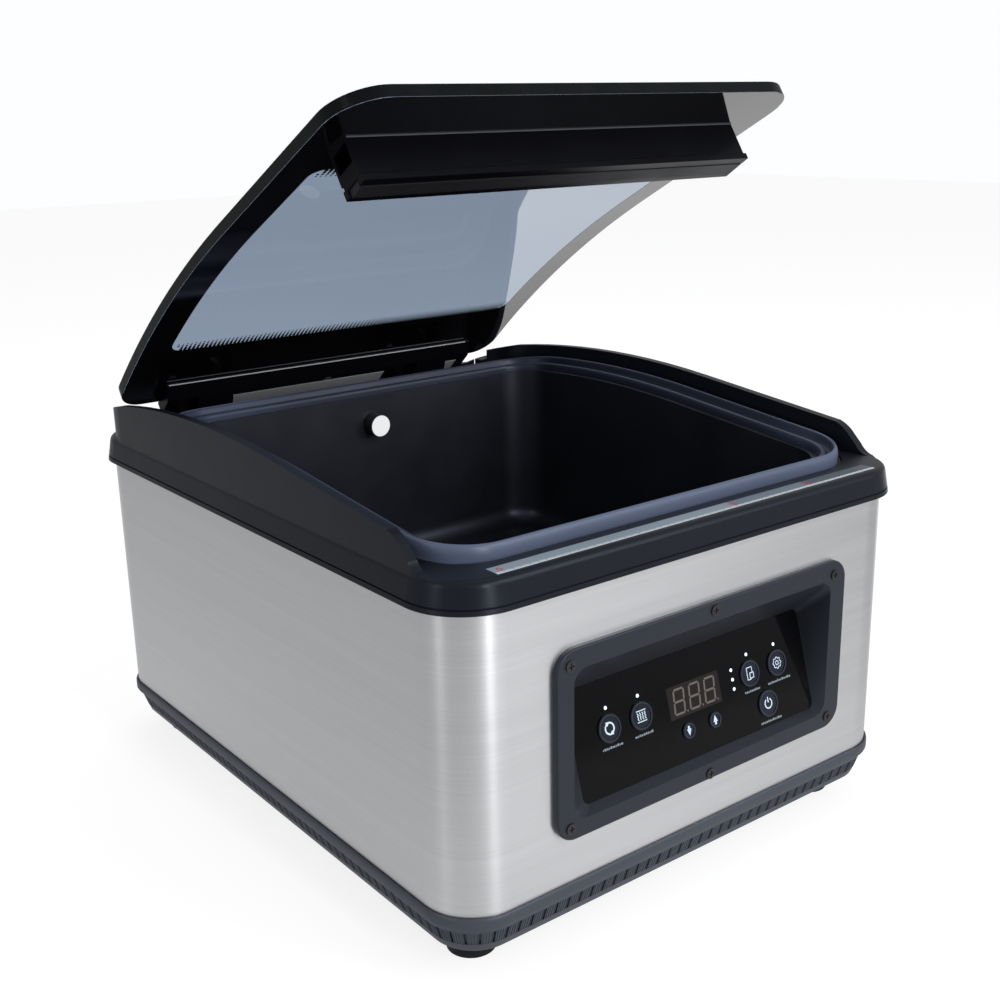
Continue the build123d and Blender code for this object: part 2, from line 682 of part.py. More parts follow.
COUNTER_Y0 = -160.0
COUNTER_Y1 = -140.5
COUNTER_TOE = 1.8
COUNTER_Z = 199.7
COUNTER_X = -2.5
COUNTER_HALF_L = 140.9
with BuildSketch(LID_SIDE) as counter_profile:
    with BuildLine():
        Polyline(
            (COUNTER_Y0 - COUNTER_TOE, COUNTER_Z),
            (COUNTER_Y1, COUNTER_Z),
            (COUNTER_Y1, crown_z(COUNTER_Y1, LID_T + 0.02)),
            (COUNTER_Y0, crown_z(COUNTER_Y0, LID_T + 0.02)),
            (COUNTER_Y0, COUNTER_Z + 4.8),
            (COUNTER_Y0 - COUNTER_TOE, COUNTER_Z + 3.6),
            close=True,
        )
    make_face()
    with Locations(((COUNTER_Y0 + COUNTER_Y1) / 2, COUNTER_Z + 18.7)):
        Rectangle(14.5, 11.0, mode=Mode.SUBTRACT)
    with Locations((COUNTER_Y1, COUNTER_Z + 6.5)):
        Rectangle(3.4, 2.6, mode=Mode.SUBTRACT)
    with Locations(((COUNTER_Y0 + COUNTER_Y1) / 2, COUNTER_Z)):
        Rectangle(11.0, 8.0, mode=Mode.SUBTRACT)
with BuildPart() as counter_bar:
    extrude(counter_profile.sketch, amount=COUNTER_HALF_L, both=True)
save(Pos(COUNTER_X, 0, 0) * counter_bar.part, "counter_bar")

with BuildSketch(LID_SIDE) as strip_profile:
    with Locations(((COUNTER_Y0 + COUNTER_Y1) / 2, COUNTER_Z + 1.8)):
        Rectangle(10.9, 4.4)
with BuildPart() as silicone_strip:
    extrude(strip_profile.sketch, amount=COUNTER_HALF_L - 1, both=True)
save(Pos(COUNTER_X, 0, 0) * silicone_strip.part, "silicone_strip")

# Fixed half of the hinge: two brackets, their pins, washers and screws.
EAR_T = 5.0
WASHER_T = 0.9
ear_in = KNUCKLE_W / 2 + 1.0
with BuildSketch(SIDE) as ear_profile:
    with Locations((HINGE_Y, (HINGE_Z + POCKET_Z) / 2)):
        Rectangle(17, HINGE_Z - POCKET_Z)
    with Locations((HINGE_Y, HINGE_Z)):
        Circle(8.5)
ear_plate = extrude(ear_profile.sketch, amount=EAR_T / 2, both=True)
with BuildPart() as hinge_brackets:
    for side in (-1, 1):
        middle = side * KNUCKLE_X
        add(block(middle - 29, middle + 29, 187.5, 204.5, POCKET_Z, POCKET_Z + 1.8))
        for ear in (-1, 1):
            start = middle + ear * (ear_in + EAR_T / 2)
            add(Pos(start, 0, 0) * ear_plate)
    with BuildSketch(SIDE):
        with Locations((HINGE_Y, HINGE_Z)):
            Circle(PIN_R)
    extrude(amount=150, both=True, mode=Mode.SUBTRACT)
    with BuildSketch(Plane.XY.offset(POCKET_Z)):
        with Locations(*[(side * KNUCKLE_X + end * 25.5, HINGE_Y) for side in (-1, 1) for end in (-1, 1)]):
            Circle(1.7)
    extrude(amount=3, mode=Mode.SUBTRACT)
save(hinge_brackets.part, "hinge_brackets")

with BuildPart() as hinge_pins:
    for side in (-1, 1):
        with BuildSketch(SIDE.offset(side * KNUCKLE_X)):
            with Locations((HINGE_Y, HINGE_Z)):
                Circle(PIN_R)
        extrude(amount=ear_in + EAR_T + 1, both=True)
save(hinge_pins.part, "hinge_pins")

with BuildPart() as hinge_washers:
    for side in (-1, 1):
        for ear in (-1, 1):
            with BuildSketch(SIDE.offset(side * KNUCKLE_X + ear * (KNUCKLE_W / 2 + 0.5))):
                with Locations((HINGE_Y, HINGE_Z)):
                    Circle(7.5)
                    Circle(BORE_R, mode=Mode.SUBTRACT)
            extrude(amount=WASHER_T / 2, both=True)
save(hinge_washers.part, "hinge_washers")

with BuildPart() as hinge_screws:
    with BuildSketch(Plane.XY.offset(POCKET_Z + 1.8)):
        with Locations(*[(side * KNUCKLE_X + end * 25.5, HINGE_Y) for side in (-1, 1) for end in (-1, 1)]):
            Circle(2.9)
    extrude(amount=1.8)
    with BuildSketch(Plane.XY.offset(POCKET_Z)):
        with Locations(*[(side * KNUCKLE_X + end * 25.5, HINGE_Y) for side in (-1, 1) for end in (-1, 1)]):
            Circle(1.6)
    extrude(amount=1.8)
save(hinge_screws.part, "hinge_screws")

with BuildPart() as lid_sensor:
    add(block(-9, 9, 170, 182, 204, 211.5))
save(lid_sensor.part, "lid_sensor")

# Vacuum pump on rubber mounts, under the tub.
PUMP_Y = 62.0
PUMP_Z = 60.0
TRAY_FLOOR_Z = TRAY_FOOT_Z + 3
MOTOR = Plane(origin=(20, PUMP_Y, PUMP_Z), x_dir=(0, 1, 0), z_dir=(1, 0, 0))
with BuildPart() as pump_motor:
    with BuildSketch(MOTOR):
        Circle(32)
    extrude(amount=95)
    fillet(pump_motor.faces().sort_by(Axis.X)[-1].edges(), 5)
    add(block(35, 105, PUMP_Y - 28, PUMP_Y + 28, 21, 34))
save(pump_motor.part, "pump_motor")

with BuildPart() as pump_head:
    add(block(-32, 19.9, PUMP_Y - 28, PUMP_Y + 28, 21, 96))
    fillet(pump_head.edges().filter_by(Axis.Z), 6)
    with BuildSketch(Plane(origin=(KNOB_X, PUMP_Y + 28, 72), x_dir=(1, 0, 0), z_dir=(0, 1, 0))):
        Circle(5)
    extrude(amount=12)
save(pump_head.part, "pump_head")

with BuildPart() as pump_mounts:
    with BuildSketch(Plane.XY.offset(TRAY_FLOOR_Z)):
        with Locations((-20, PUMP_Y - 20), (-20, PUMP_Y + 20), (92, PUMP_Y - 20), (92, PUMP_Y + 20)):
            Circle(7)
    extrude(amount=21 - TRAY_FLOOR_Z)
save(pump_mounts.part, "pump_mounts")

# Suction hose behind the tub, and the air line that joins the two lift cylinders.
HOSE_R = 4.2
HOSE_BEND = 14.0
HOSE_Y = 152.0
with BuildPart() as suction_hose:
    with BuildLine(Plane(origin=(KNOB_X, 0, 0), x_dir=(0, 1, 0), z_dir=(1, 0, 0))) as hose_path:
        Line((142.1, KNOB_Z), (HOSE_Y, KNOB_Z))
        ThreePointArc(
            (HOSE_Y, KNOB_Z),
            (HOSE_Y + HOSE_BEND * sin(pi / 4), KNOB_Z - HOSE_BEND * (1 - cos(pi / 4))),
            (HOSE_Y + HOSE_BEND, KNOB_Z - HOSE_BEND),
        )
        Line((HOSE_Y + HOSE_BEND, KNOB_Z - HOSE_BEND), (HOSE_Y + HOSE_BEND, 72 + HOSE_BEND))
        ThreePointArc(
            (HOSE_Y + HOSE_BEND, 72 + HOSE_BEND),
            (HOSE_Y + HOSE_BEND * sin(pi / 4), 72 + HOSE_BEND * (1 - cos(pi / 4))),
            (HOSE_Y, 72),
        )
        Line((HOSE_Y, 72), (PUMP_Y + 40.1, 72))
    with BuildSketch(Plane(origin=(KNOB_X, 142.1, KNOB_Z), x_dir=(1, 0, 0), z_dir=(0, 1, 0))):
        Circle(HOSE_R)
    sweep(path=hose_path.line)
save(suction_hose.part, "suction_hose")

LINE_Z = 78.0
LINE_TOP_Z = TUB_FLOOR_Z - 14.1
with BuildPart() as lift_line:
    with BuildLine(Plane(origin=(0, BAR_Y, 0), x_dir=(1, 0, 0), z_dir=(0, -1, 0))) as line_path:
        Line((-CYLINDER_X, LINE_TOP_Z), (-CYLINDER_X, LINE_Z + 8))
        ThreePointArc(
            (-CYLINDER_X, LINE_Z + 8),
            (-CYLINDER_X + 8 * (1 - cos(pi / 4)), LINE_Z + 8 * (1 - sin(pi / 4))),
            (-CYLINDER_X + 8, LINE_Z),
        )
        Line((-CYLINDER_X + 8, LINE_Z), (CYLINDER_X - 8, LINE_Z))
        ThreePointArc(
            (CYLINDER_X - 8, LINE_Z),
            (CYLINDER_X - 8 * (1 - cos(pi / 4)), LINE_Z + 8 * (1 - sin(pi / 4))),
            (CYLINDER_X, LINE_Z + 8),
        )
        Line((CYLINDER_X, LINE_Z + 8), (CYLINDER_X, LINE_TOP_Z))
    with BuildSketch(Plane.XY.offset(LINE_TOP_Z)):
        with Locations((-CYLINDER_X, BAR_Y)):
            Circle(4.5)
    sweep(path=line_path.line)
save(lift_line.part, "lift_line")


def valve(x, y):
    """A small solenoid valve: body, coil and armature cap."""
    with BuildPart() as body:
        add(block(x - 16, x + 16, y - 12, y + 12, TRAY_FLOOR_Z, 29))
        with BuildSketch(Plane.XY.offset(29)):
            with Locations((x, y)):
                Rectangle(22, 22)
        extrude(amount=22)
        fillet(body.edges().filter_by(Axis.Z).group_by(Axis.Z)[-1], 3)
        with BuildSketch(Plane.XY.offset(51)):
            with Locations((x, y)):
                Circle(6)
        extrude(amount=6)
    return body.part


save(valve(-40, -110), "lift_valve")
save(valve(20, -110), "vent_valve")

# Sealing transformer and mains board.
CORE_X = -105.0
CORE_Y = 40.0
with BuildPart() as transformer_core:
    with BuildSketch(Plane(origin=(CORE_X, CORE_Y, 44), x_dir=(1, 0, 0), z_dir=(0, 1, 0))):
        Rectangle(72, 60)
        with Locations((-17, 0), (17, 0)):
            Rectangle(14, 38, mode=Mode.SUBTRACT)
    extrude(amount=20, both=True)
    add(block(CORE_X - 46, CORE_X + 46, CORE_Y - 20, CORE_Y + 20, TRAY_FLOOR_Z, 14))
save(transformer_core.part, "transformer_core")

with BuildPart() as transformer_coils:
    with BuildSketch(Plane.XY.offset(26)):
        with Locations((CORE_X, CORE_Y)):
            RectangleRounded(47, 66, 8)
            Rectangle(20.6, 40.6, mode=Mode.SUBTRACT)
    extrude(amount=36)
save(transformer_coils.part, "transformer_coils")

with BuildPart() as power_board:
    add(block(70, 155, -140, -30, 18, 19.6))
    add(block(80, 100, -120, -100, 19.6, 40))
    add(block(110, 130, -125, -98, 19.6, 36))
    add(block(82, 122, -80, -50, 19.6, 45))
    with BuildSketch(Plane.XY.offset(TRAY_FLOOR_Z)):
        with Locations((76, -134), (149, -134), (76, -36), (149, -36)):
            Circle(3)
    extrude(amount=18 - TRAY_FLOOR_Z)
save(power_board.part, "power_board")

# Cooling fan behind the rear air slots.
FAN = Plane(origin=(FAN_X, 211.9, FAN_Z), x_dir=(-1, 0, 0), z_dir=(0, 1, 0))
with BuildPart() as fan_frame:
    with BuildSketch(FAN):
        RectangleRounded(80, 80, 6)
        Circle(38, mode=Mode.SUBTRACT)
    extrude(amount=-22)
    with BuildSketch(FAN.offset(-19)):
        Circle(15)
        for turn in (45, 135):
            with Locations(Rotation(0, 0, turn)):
                Rectangle(84, 5)
        RectangleRounded(80, 80, 6, mode=Mode.INTERSECT)
    extrude(amount=-3)
save(fan_frame.part, "fan_frame")

with BuildPart() as fan_rotor:
    with BuildSketch(FAN.offset(-2)):
        Circle(14)
    extrude(amount=-16.5)
    for blade in range(7):
        turn = Pos(FAN_X, 202.9, FAN_Z) * Rot(0, 360 / 7 * blade, 0)
        add(turn * Pos(24.5, 0, 0) * Rot(35, 0, 0) * Box(23, 1.6, 15, mode=Mode.PRIVATE))
save(fan_rotor.part, "fan_rotor")

# Mains inlet and mains switch at the rear.
with BuildPart() as inlet_socket:
    with BuildSketch(REAR.offset(0.05)):
        with Locations((-SOCKET_X, REAR_Z)):
            RectangleRounded(38, 28, 3)
    extrude(amount=2)
    with BuildSketch(REAR.offset(0.05)):
        with Locations((-SOCKET_X, REAR_Z)):
            Rectangle(28, 20)
    extrude(amount=-24)
    with BuildSketch(REAR.offset(2.05)):
        with Locations((-SOCKET_X, REAR_Z)):
            RectangleRounded(24, 16, 3)
    extrude(amount=-18, mode=Mode.SUBTRACT)
    with BuildSketch(REAR.offset(-16)):
        with Locations((-SOCKET_X - 7, REAR_Z), (-SOCKET_X, REAR_Z + 3), (-SOCKET_X + 7, REAR_Z)):
            Rectangle(2, 4)
    extrude(amount=12)
save(inlet_socket.part, "inlet_socket")

with BuildPart() as rocker_frame:
    with BuildSketch(REAR.offset(0.05)):
        with Locations((-SWITCH_X, REAR_Z)):
            RectangleRounded(20, 27, 2)
    extrude(amount=1.6)
    with BuildSketch(REAR.offset(0.05)):
        with Locations((-SWITCH_X, REAR_Z)):
            Rectangle(15, 22)
    extrude(amount=-18)
    with BuildSketch(REAR.offset(1.65)):
        with Locations((-SWITCH_X, REAR_Z)):
            Rectangle(12, 19)
    extrude(amount=-17, mode=Mode.SUBTRACT)
save(rocker_frame.part, "rocker_frame")

# The rocker pivots about a line across the machine, just inside the sheet.
ROCKER_Y = HALF_D - 4
ROCKER = Plane(origin=(SWITCH_X, ROCKER_Y, REAR_Z), x_dir=(0, 1, 0), z_dir=(1, 0, 0))
ROCKER_REST = radians(8)
ROCKER_SHAPE = [(-3, -5), (4.5, -8), (5.2, 0), (4.5, 8), (-3, 5)]
rocker_points = [
    (out * cos(ROCKER_REST) - up * sin(ROCKER_REST), out * sin(ROCKER_REST) + up * cos(ROCKER_REST))
    for out, up in ROCKER_SHAPE
]
with BuildPart() as power_rocker:
    with BuildSketch(ROCKER):
        with BuildLine():
            Polyline(*rocker_points, close=True)
        make_face()
    extrude(amount=5.8, both=True)
save(power_rocker.part, "power_rocker")
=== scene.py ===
import json
import math

import bpy
from mathutils import Matrix, Vector

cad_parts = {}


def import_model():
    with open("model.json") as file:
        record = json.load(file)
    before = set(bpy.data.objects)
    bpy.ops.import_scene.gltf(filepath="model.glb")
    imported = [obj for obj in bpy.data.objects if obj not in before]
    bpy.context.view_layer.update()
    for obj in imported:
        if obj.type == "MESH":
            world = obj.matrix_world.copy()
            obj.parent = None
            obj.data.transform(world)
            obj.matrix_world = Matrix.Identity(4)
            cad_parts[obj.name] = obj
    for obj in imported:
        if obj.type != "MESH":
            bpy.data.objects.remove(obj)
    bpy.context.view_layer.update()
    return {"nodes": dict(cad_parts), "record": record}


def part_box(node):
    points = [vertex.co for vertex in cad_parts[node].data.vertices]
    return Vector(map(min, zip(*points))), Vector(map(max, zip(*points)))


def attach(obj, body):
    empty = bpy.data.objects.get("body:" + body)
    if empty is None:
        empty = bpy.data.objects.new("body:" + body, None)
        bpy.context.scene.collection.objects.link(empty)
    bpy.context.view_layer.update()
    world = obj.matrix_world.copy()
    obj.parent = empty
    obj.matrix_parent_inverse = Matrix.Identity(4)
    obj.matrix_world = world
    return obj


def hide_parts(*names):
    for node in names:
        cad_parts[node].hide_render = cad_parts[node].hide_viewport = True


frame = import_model()
NODES = frame["nodes"]
MM = 0.001


def box_mm(node_name):
    """A CAD node's lower and upper corners at rest, in mm."""
    return [[round(c / MM, 3) for c in corner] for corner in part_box(node_name)]


# Heights in the CAD are drawn from a datum this far above the worktop.
DATUM_Z = 10.0
BODY_HALF_W, BODY_HALF_D, _ = box_mm("steel_wrap")[1]
BODY_R = 32.0

# The crown: the arched line that the lid, the side walls and the gasket share, in mm.
CROWN_Y = 41.6
CROWN_Z = 249.3 + DATUM_Z
CROWN_R = 836.0
CROWN_SLOPE = math.radians(5.89)

# The lid stands open by OPEN about the hinge line, as far as the hinge lets it shut.
LID_HINGE = next(j for j in frame["record"]["behaviour"]["joints"] if j["name"] == "lid_hinge")
OPEN = math.radians(-LID_HINGE["range_deg"][0])
_, HINGE_Y, HINGE_Z = (round(c / MM, 3) for c in LID_HINGE["pos_m"])
LID_T = 7.0
LID_HALF_W = box_mm("lid_glass")[1][0]
LID_FRONT_Y = -200.0
LID_REAR_Y = 186.0
LID_R = 28.0
LID_REAR_R = 18.0
# The clear window inside the printed border: half width, front y, rear y, corner radius.
WINDOW = (143.0, -122.0, 119.0, 9.0)

GASKET_FRONT_Y = box_mm("chamber_gasket")[0][1]
GASKET_HALF_W, GASKET_BACK_Y, _ = box_mm("chamber_gasket")[1]
GASKET_R = 37.0
GASKET_FLOOR = 17.0
GASKET_TOP = 7.3

# The tilted control plate: local x runs across, local y up the plate from its lower edge.
PLATE_TILT = math.radians(16.0)
PLATE_ORIGIN = Vector((0, -BODY_HALF_D + 2.0, 70.6 + DATUM_Z))
PLATE_UP = Vector((0, math.sin(PLATE_TILT), math.cos(PLATE_TILT)))
PLATE_OUT = Vector((0, -math.cos(PLATE_TILT), math.sin(PLATE_TILT)))


def place_on_plate(node_name):
    """Where a CAD node's middle lies on the control plate, as local x and y in mm."""
    low, high = box_mm(node_name)
    offset = (Vector(low) + Vector(high)) / 2 - PLATE_ORIGIN
    return offset.x, offset.dot(PLATE_UP)


BIG_KEY_NAMES = ("recirculate", "seal", "bag", "user", "power")
BIG_KEYS = {name: place_on_plate("button_" + name) for name in BIG_KEY_NAMES}
SMALL_KEYS = {name: place_on_plate("button_" + name) for name in ("down", "up")}
DISPLAY = place_on_plate("display_module")
KEY_FACE = 0.5


def crown_z(y, drop):
    """Height in mm of the line that runs drop below the crown."""
    radius = CROWN_R - drop
    tangent_y = CROWN_Y - radius * math.sin(CROWN_SLOPE)
    reach = max(y, tangent_y) - CROWN_Y
    height = CROWN_Z - CROWN_R + math.sqrt(radius * radius - reach * reach)
    return height - max(0.0, tangent_y - y) * math.tan(CROWN_SLOPE)


def opened(x, y, z):
    """Where a point of the shut lid stands with the lid open, in mm."""
    dy = y - HINGE_Y
    dz = z - HINGE_Z
    turned_y = dy * math.cos(OPEN) + dz * math.sin(OPEN)
    turned_z = dz * math.cos(OPEN) - dy * math.sin(OPEN)
    return (x, HINGE_Y + turned_y, HINGE_Z + turned_z)


def plate_matrix(lift):
    """Local frame of the control plate, raised by lift mm, in metres."""
    origin = (PLATE_ORIGIN + PLATE_OUT * lift) * MM
    rows = Matrix((Vector((1, 0, 0)), PLATE_UP, PLATE_OUT)).transposed().to_4x4()
    return Matrix.Translation(origin) @ rows


# ---------------------------------------------------------------- materials


def new_material(name):
    """A node material, with its node tree's parts and its main shader."""
    material = bpy.data.materials.new(name)
    material.use_nodes = True
    nodes = material.node_tree.nodes
    return material, nodes, material.node_tree.links, nodes["Principled BSDF"]


def noise(nodes, links, scale, stretch=(1, 1, 1), detail=4.0):
    """Noise over the object's own coordinates, in metres, stretched per axis."""
    coords = nodes.new("ShaderNodeTexCoord")
    mapping = nodes.new("ShaderNodeMapping")
    mapping.inputs["Scale"].default_value = stretch
    texture = nodes.new("ShaderNodeTexNoise")
    texture.inputs["Scale"].default_value = scale
    texture.inputs["Detail"].default_value = detail
    links.new(coords.outputs["Object"], mapping.inputs["Vector"])
    links.new(mapping.outputs["Vector"], texture.inputs["Vector"])
    return texture.outputs["Fac"]


def map_range(nodes, links, source, start, stop, low=0.0, high=1.0):
    """Maps start..stop to low..high, and holds the ends beyond it."""
    node = nodes.new("ShaderNodeMapRange")
    node.inputs["From Min"].default_value = start
    node.inputs["From Max"].default_value = stop
    node.inputs["To Min"].default_value = low
    node.inputs["To Max"].default_value = high
    links.new(source, node.inputs["Value"])
    return node.outputs["Result"]


def ramp(nodes, links, source, low, high):
    """Spreads the middle of a noise texture's range over low..high."""
    return map_range(nodes, links, source, 0.3, 0.7, low, high)


def calculate(nodes, links, operation, a, b):
    """One sum on two values, each a number or another node's output."""
    node = nodes.new("ShaderNodeMath")
    node.operation = operation
    for slot, value in zip(node.inputs, (a, b)):
        if isinstance(value, float):
            slot.default_value = value
        else:
            links.new(value, slot)
    return node.outputs[0]


def axes(nodes, links, source, output):
    """X, Y and Z of a coordinate or geometry node's output."""
    split = nodes.new("ShaderNodeSeparateXYZ")
    links.new(nodes.new(source).outputs[output], split.inputs["Vector"])
    return split.outputs


def tint(nodes, links, source, dark, light):
    """A colour between dark and light."""
    mix = nodes.new("ShaderNodeMix")
    mix.data_type = "RGBA"
    mix.inputs["A"].default_value = (*dark, 1)
    mix.inputs["B"].default_value = (*light, 1)
    links.new(source, mix.inputs["Factor"])
    return mix.outputs["Result"]


def bump(nodes, links, shader, source, strength, distance):
    """Fine relief, distance metres deep."""
    node = nodes.new("ShaderNodeBump")
    node.inputs["Strength"].default_value = strength
    node.inputs["Distance"].default_value = distance
    links.new(source, node.inputs["Height"])
    links.new(node.outputs["Normal"], shader.inputs["Normal"])


# The dark plastics mirror the studio with a slight blue cast.
COOL_SHEEN = (0.74, 0.82, 1.0, 1)


def moulded(name, colour, roughness, grain=900.0, strength=0.25, spread=0.12, shine=0.5):
    """Moulded plastic or rubber: fine grain, and slow changes in tone and sheen."""
    material, nodes, links, shader = new_material(name)
    slow = noise(nodes, links, 9.0)
    dark = tuple(c * (1 - spread) for c in colour)
    light = tuple(c * (1 + spread) for c in colour)
    links.new(tint(nodes, links, slow, dark, light), shader.inputs["Base Color"])
    smudge = noise(nodes, links, 32.0)
    links.new(ramp(nodes, links, smudge, roughness * 0.9, roughness * 1.1), shader.inputs["Roughness"])
    fine = noise(nodes, links, grain, detail=2.0)
    bump(nodes, links, shader, fine, strength, 0.00006)
    shader.inputs["Specular IOR Level"].default_value = shine
    shader.inputs["Specular Tint"].default_value = COOL_SHEEN
    return material


def shaded_behind(material, level):
    """Paints shade into a material's colour: dims it to a level on the back and right runs of the chamber's
    rim.
    """
    nodes = material.node_tree.nodes
    links = material.node_tree.links
    shader = nodes["Principled BSDF"]
    plain = shader.inputs["Base Color"].links[0].from_socket
    where = axes(nodes, links, "ShaderNodeTexCoord", "Object")
    back = map_range(nodes, links, where["Y"], -0.175, -0.09)
    right = map_range(nodes, links, where["X"], -0.14, -0.02)
    both = calculate(nodes, links, "MULTIPLY", back, right)
    scaled = nodes.new("ShaderNodeVectorMath")
    scaled.operation = "SCALE"
    links.new(plain, scaled.inputs["Vector"])
    links.new(ramp(nodes, links, both, 1.0, level), scaled.inputs["Scale"])
    links.new(scaled.outputs["Vector"], shader.inputs["Base Color"])


def metal(name, colour, roughness, stretch=(1, 1, 1), scale=700.0, strength=0.15):
    """Bare metal with fine tool marks."""
    material, nodes, links, shader = new_material(name)
    shader.inputs["Metallic"].default_value = 1.0
    marks = noise(nodes, links, scale, stretch, 3.0)
    dark = tuple(c * 0.88 for c in colour)
    links.new(tint(nodes, links, marks, dark, colour), shader.inputs["Base Color"])
    links.new(ramp(nodes, links, marks, roughness * 0.8, roughness * 1.2), shader.inputs["Roughness"])
    bump(nodes, links, shader, marks, strength, 0.00004)
    return material


def brushed_steel():
    """Sheet brushed along the horizontal, with long faint streaks."""
    material, nodes, links, shader = new_material("brushed_steel")
    shader.inputs["Metallic"].default_value = 1.0
    hair = noise(nodes, links, 60.0, (0.16, 0.16, 34.0), 6.0)
    streak = noise(nodes, links, 14.0, (0.22, 0.22, 16.0), 4.0)
    fine = calculate(nodes, links, "MULTIPLY", hair, 0.6)
    coarse = calculate(nodes, links, "MULTIPLY", streak, 0.4)
    both = calculate(nodes, links, "ADD", fine, coarse)
    lightness = ramp(nodes, links, both, 0.0, 1.0)
    colour = tint(nodes, links, lightness, (0.76, 0.765, 0.785), (0.85, 0.855, 0.875))
    links.new(colour, shader.inputs["Base Color"])
    links.new(ramp(nodes, links, both, 0.30, 0.38), shader.inputs["Roughness"])
    shader.inputs["Anisotropic"].default_value = 0.7
    shader.inputs["Anisotropic Rotation"].default_value = 0.25
    bump(nodes, links, shader, hair, 0.07, 0.00005)
    return material


def gloss(name, colour, roughness=0.06, shine=0.5, ior=1.5):
    """Polished plastic or print with faint waviness."""
    material, nodes, links, shader = new_material(name)
    slow = noise(nodes, links, 11.0)
    light = tuple(c * 1.25 + 0.001 for c in colour)
    links.new(tint(nodes, links, slow, colour, light), shader.inputs["Base Color"])
    shader.inputs["IOR"].default_value = ior
    smudge = noise(nodes, links, 60.0)
    links.new(ramp(nodes, links, smudge, roughness * 0.7, roughness * 1.4), shader.inputs["Roughness"])
    shader.inputs["Specular IOR Level"].default_value = shine
    bump(nodes, links, shader, noise(nodes, links, 240.0, detail=1.0), 0.04, 0.00004)
    return material


def glowing(name, colour, strength):
    """A print or lamp that gives off a little light of its own."""
    material, nodes, links, shader = new_material(name)
    shade = noise(nodes, links, 400.0)
    dim = tuple(c * 0.92 for c in colour)
    links.new(tint(nodes, links, shade, dim, colour), shader.inputs["Base Color"])
    links.new(tint(nodes, links, shade, dim, colour), shader.inputs["Emission Color"])
    shader.inputs["Emission Strength"].default_value = strength
    shader.inputs["Roughness"].default_value = 0.35
    return material


def knob_painted_light():
    """A satin metal knob: its rim painted near black as painted shade, and its pale metal face lit further by
    a painted catch-light, a glow that other surfaces hardly mirror.
    """
    material, nodes, links, shader = new_material("knob_painted_light")
    turning = noise(nodes, links, 600.0)
    links.new(ramp(nodes, links, turning, 0.32, 0.42), shader.inputs["Roughness"])
    bump(nodes, links, shader, turning, 0.05, 0.00004)
    outward = axes(nodes, links, "ShaderNodeNewGeometry", "Normal")
    # Faces turned to the front keep the metal's pale tone; the rim takes a near black, painted shade.
    face = map_range(nodes, links, outward["Y"], -0.7, -0.98, 0.0, 0.66)
    colour = tint(nodes, links, face, (0.012, 0.012, 0.014), (0.50, 0.50, 0.51))
    links.new(colour, shader.inputs["Base Color"])
    # Painted highlight: the face glows for the camera's own rays.
    path = nodes.new("ShaderNodeLightPath").outputs
    direct = calculate(nodes, links, "GREATER_THAN", path["Is Camera Ray"], path["Transparent Depth"])
    catch = calculate(nodes, links, "MULTIPLY", direct, face)
    shader.inputs["Emission Color"].default_value = (0.97, 0.98, 1.0, 1)
    links.new(catch, shader.inputs["Emission Strength"])
    return material


def window_glass():
    """Tinted sheet: a coloured film that mirrors by Fresnel where a face is met from outside."""
    material = bpy.data.materials.new("tinted_glass")
    material.use_nodes = True
    nodes = material.node_tree.nodes
    links = material.node_tree.links
    nodes.clear()
    clear = nodes.new("ShaderNodeBsdfTransparent")
    slow = noise(nodes, links, 6.0)
    links.new(tint(nodes, links, slow, (0.54, 0.60, 0.685), (0.555, 0.615, 0.70)), clear.inputs["Color"])
    shine = nodes.new("ShaderNodeBsdfGlossy")
    shine.inputs["Roughness"].default_value = 0.02
    fresnel = nodes.new("ShaderNodeFresnel")
    fresnel.inputs["IOR"].default_value = 2.1
    geometry = nodes.new("ShaderNodeNewGeometry")
    front = calculate(nodes, links, "SUBTRACT", 1.0, geometry.outputs["Backfacing"])
    facing = calculate(nodes, links, "MULTIPLY", fresnel.outputs["Fac"], front)
    mix = nodes.new("ShaderNodeMixShader")
    out = nodes.new("ShaderNodeOutputMaterial")
    links.new(facing, mix.inputs["Fac"])
    links.new(clear.outputs["BSDF"], mix.inputs[1])
    links.new(shine.outputs["BSDF"], mix.inputs[2])
    links.new(mix.outputs["Shader"], out.inputs["Surface"])
    return material


STEEL = brushed_steel()
COVER = moulded("cover_plastic", (0.0080, 0.0097, 0.0140), 0.33, 700.0, 0.18, shine=0.25)
TRAY = moulded("tray_plastic", (0.058, 0.066, 0.082), 0.42, 700.0, 0.2, shine=0.4)
TUB = moulded("tub_plastic", (0.0055, 0.0055, 0.0085), 0.44, 500.0, 0.12, shine=0.75)
GASKET = moulded("gasket_rubber", (0.098, 0.122, 0.190), 0.38, 900.0, 0.12)
# The gasket's groove and inner bead take a darker copy of its rubber: painted shade under the thin lip and
# the open lid.
GASKET_SHADED_INNER = moulded("gasket_inner_painted_shade", (0.034, 0.043, 0.076), 0.42, 900.0, 0.12)
# Painted shade: the gasket's back and right runs are darkened in colour.
shaded_behind(GASKET, 0.42)
shaded_behind(GASKET_SHADED_INNER, 0.5)
RUBBER = moulded("foot_rubber", (0.008, 0.008, 0.010), 0.6, 500.0, 0.3, shine=0.25)
BEZEL = moulded("bezel_plastic", (0.020, 0.023, 0.031), 0.34, 700.0, 0.2, shine=0.4)
DARK = moulded("dark_plastic", (0.015, 0.015, 0.017), 0.5)
BAR_BLACK = moulded("bar_black", (0.0030, 0.0030, 0.0045), 0.30, 350.0, 0.2, 0.3, 0.11)
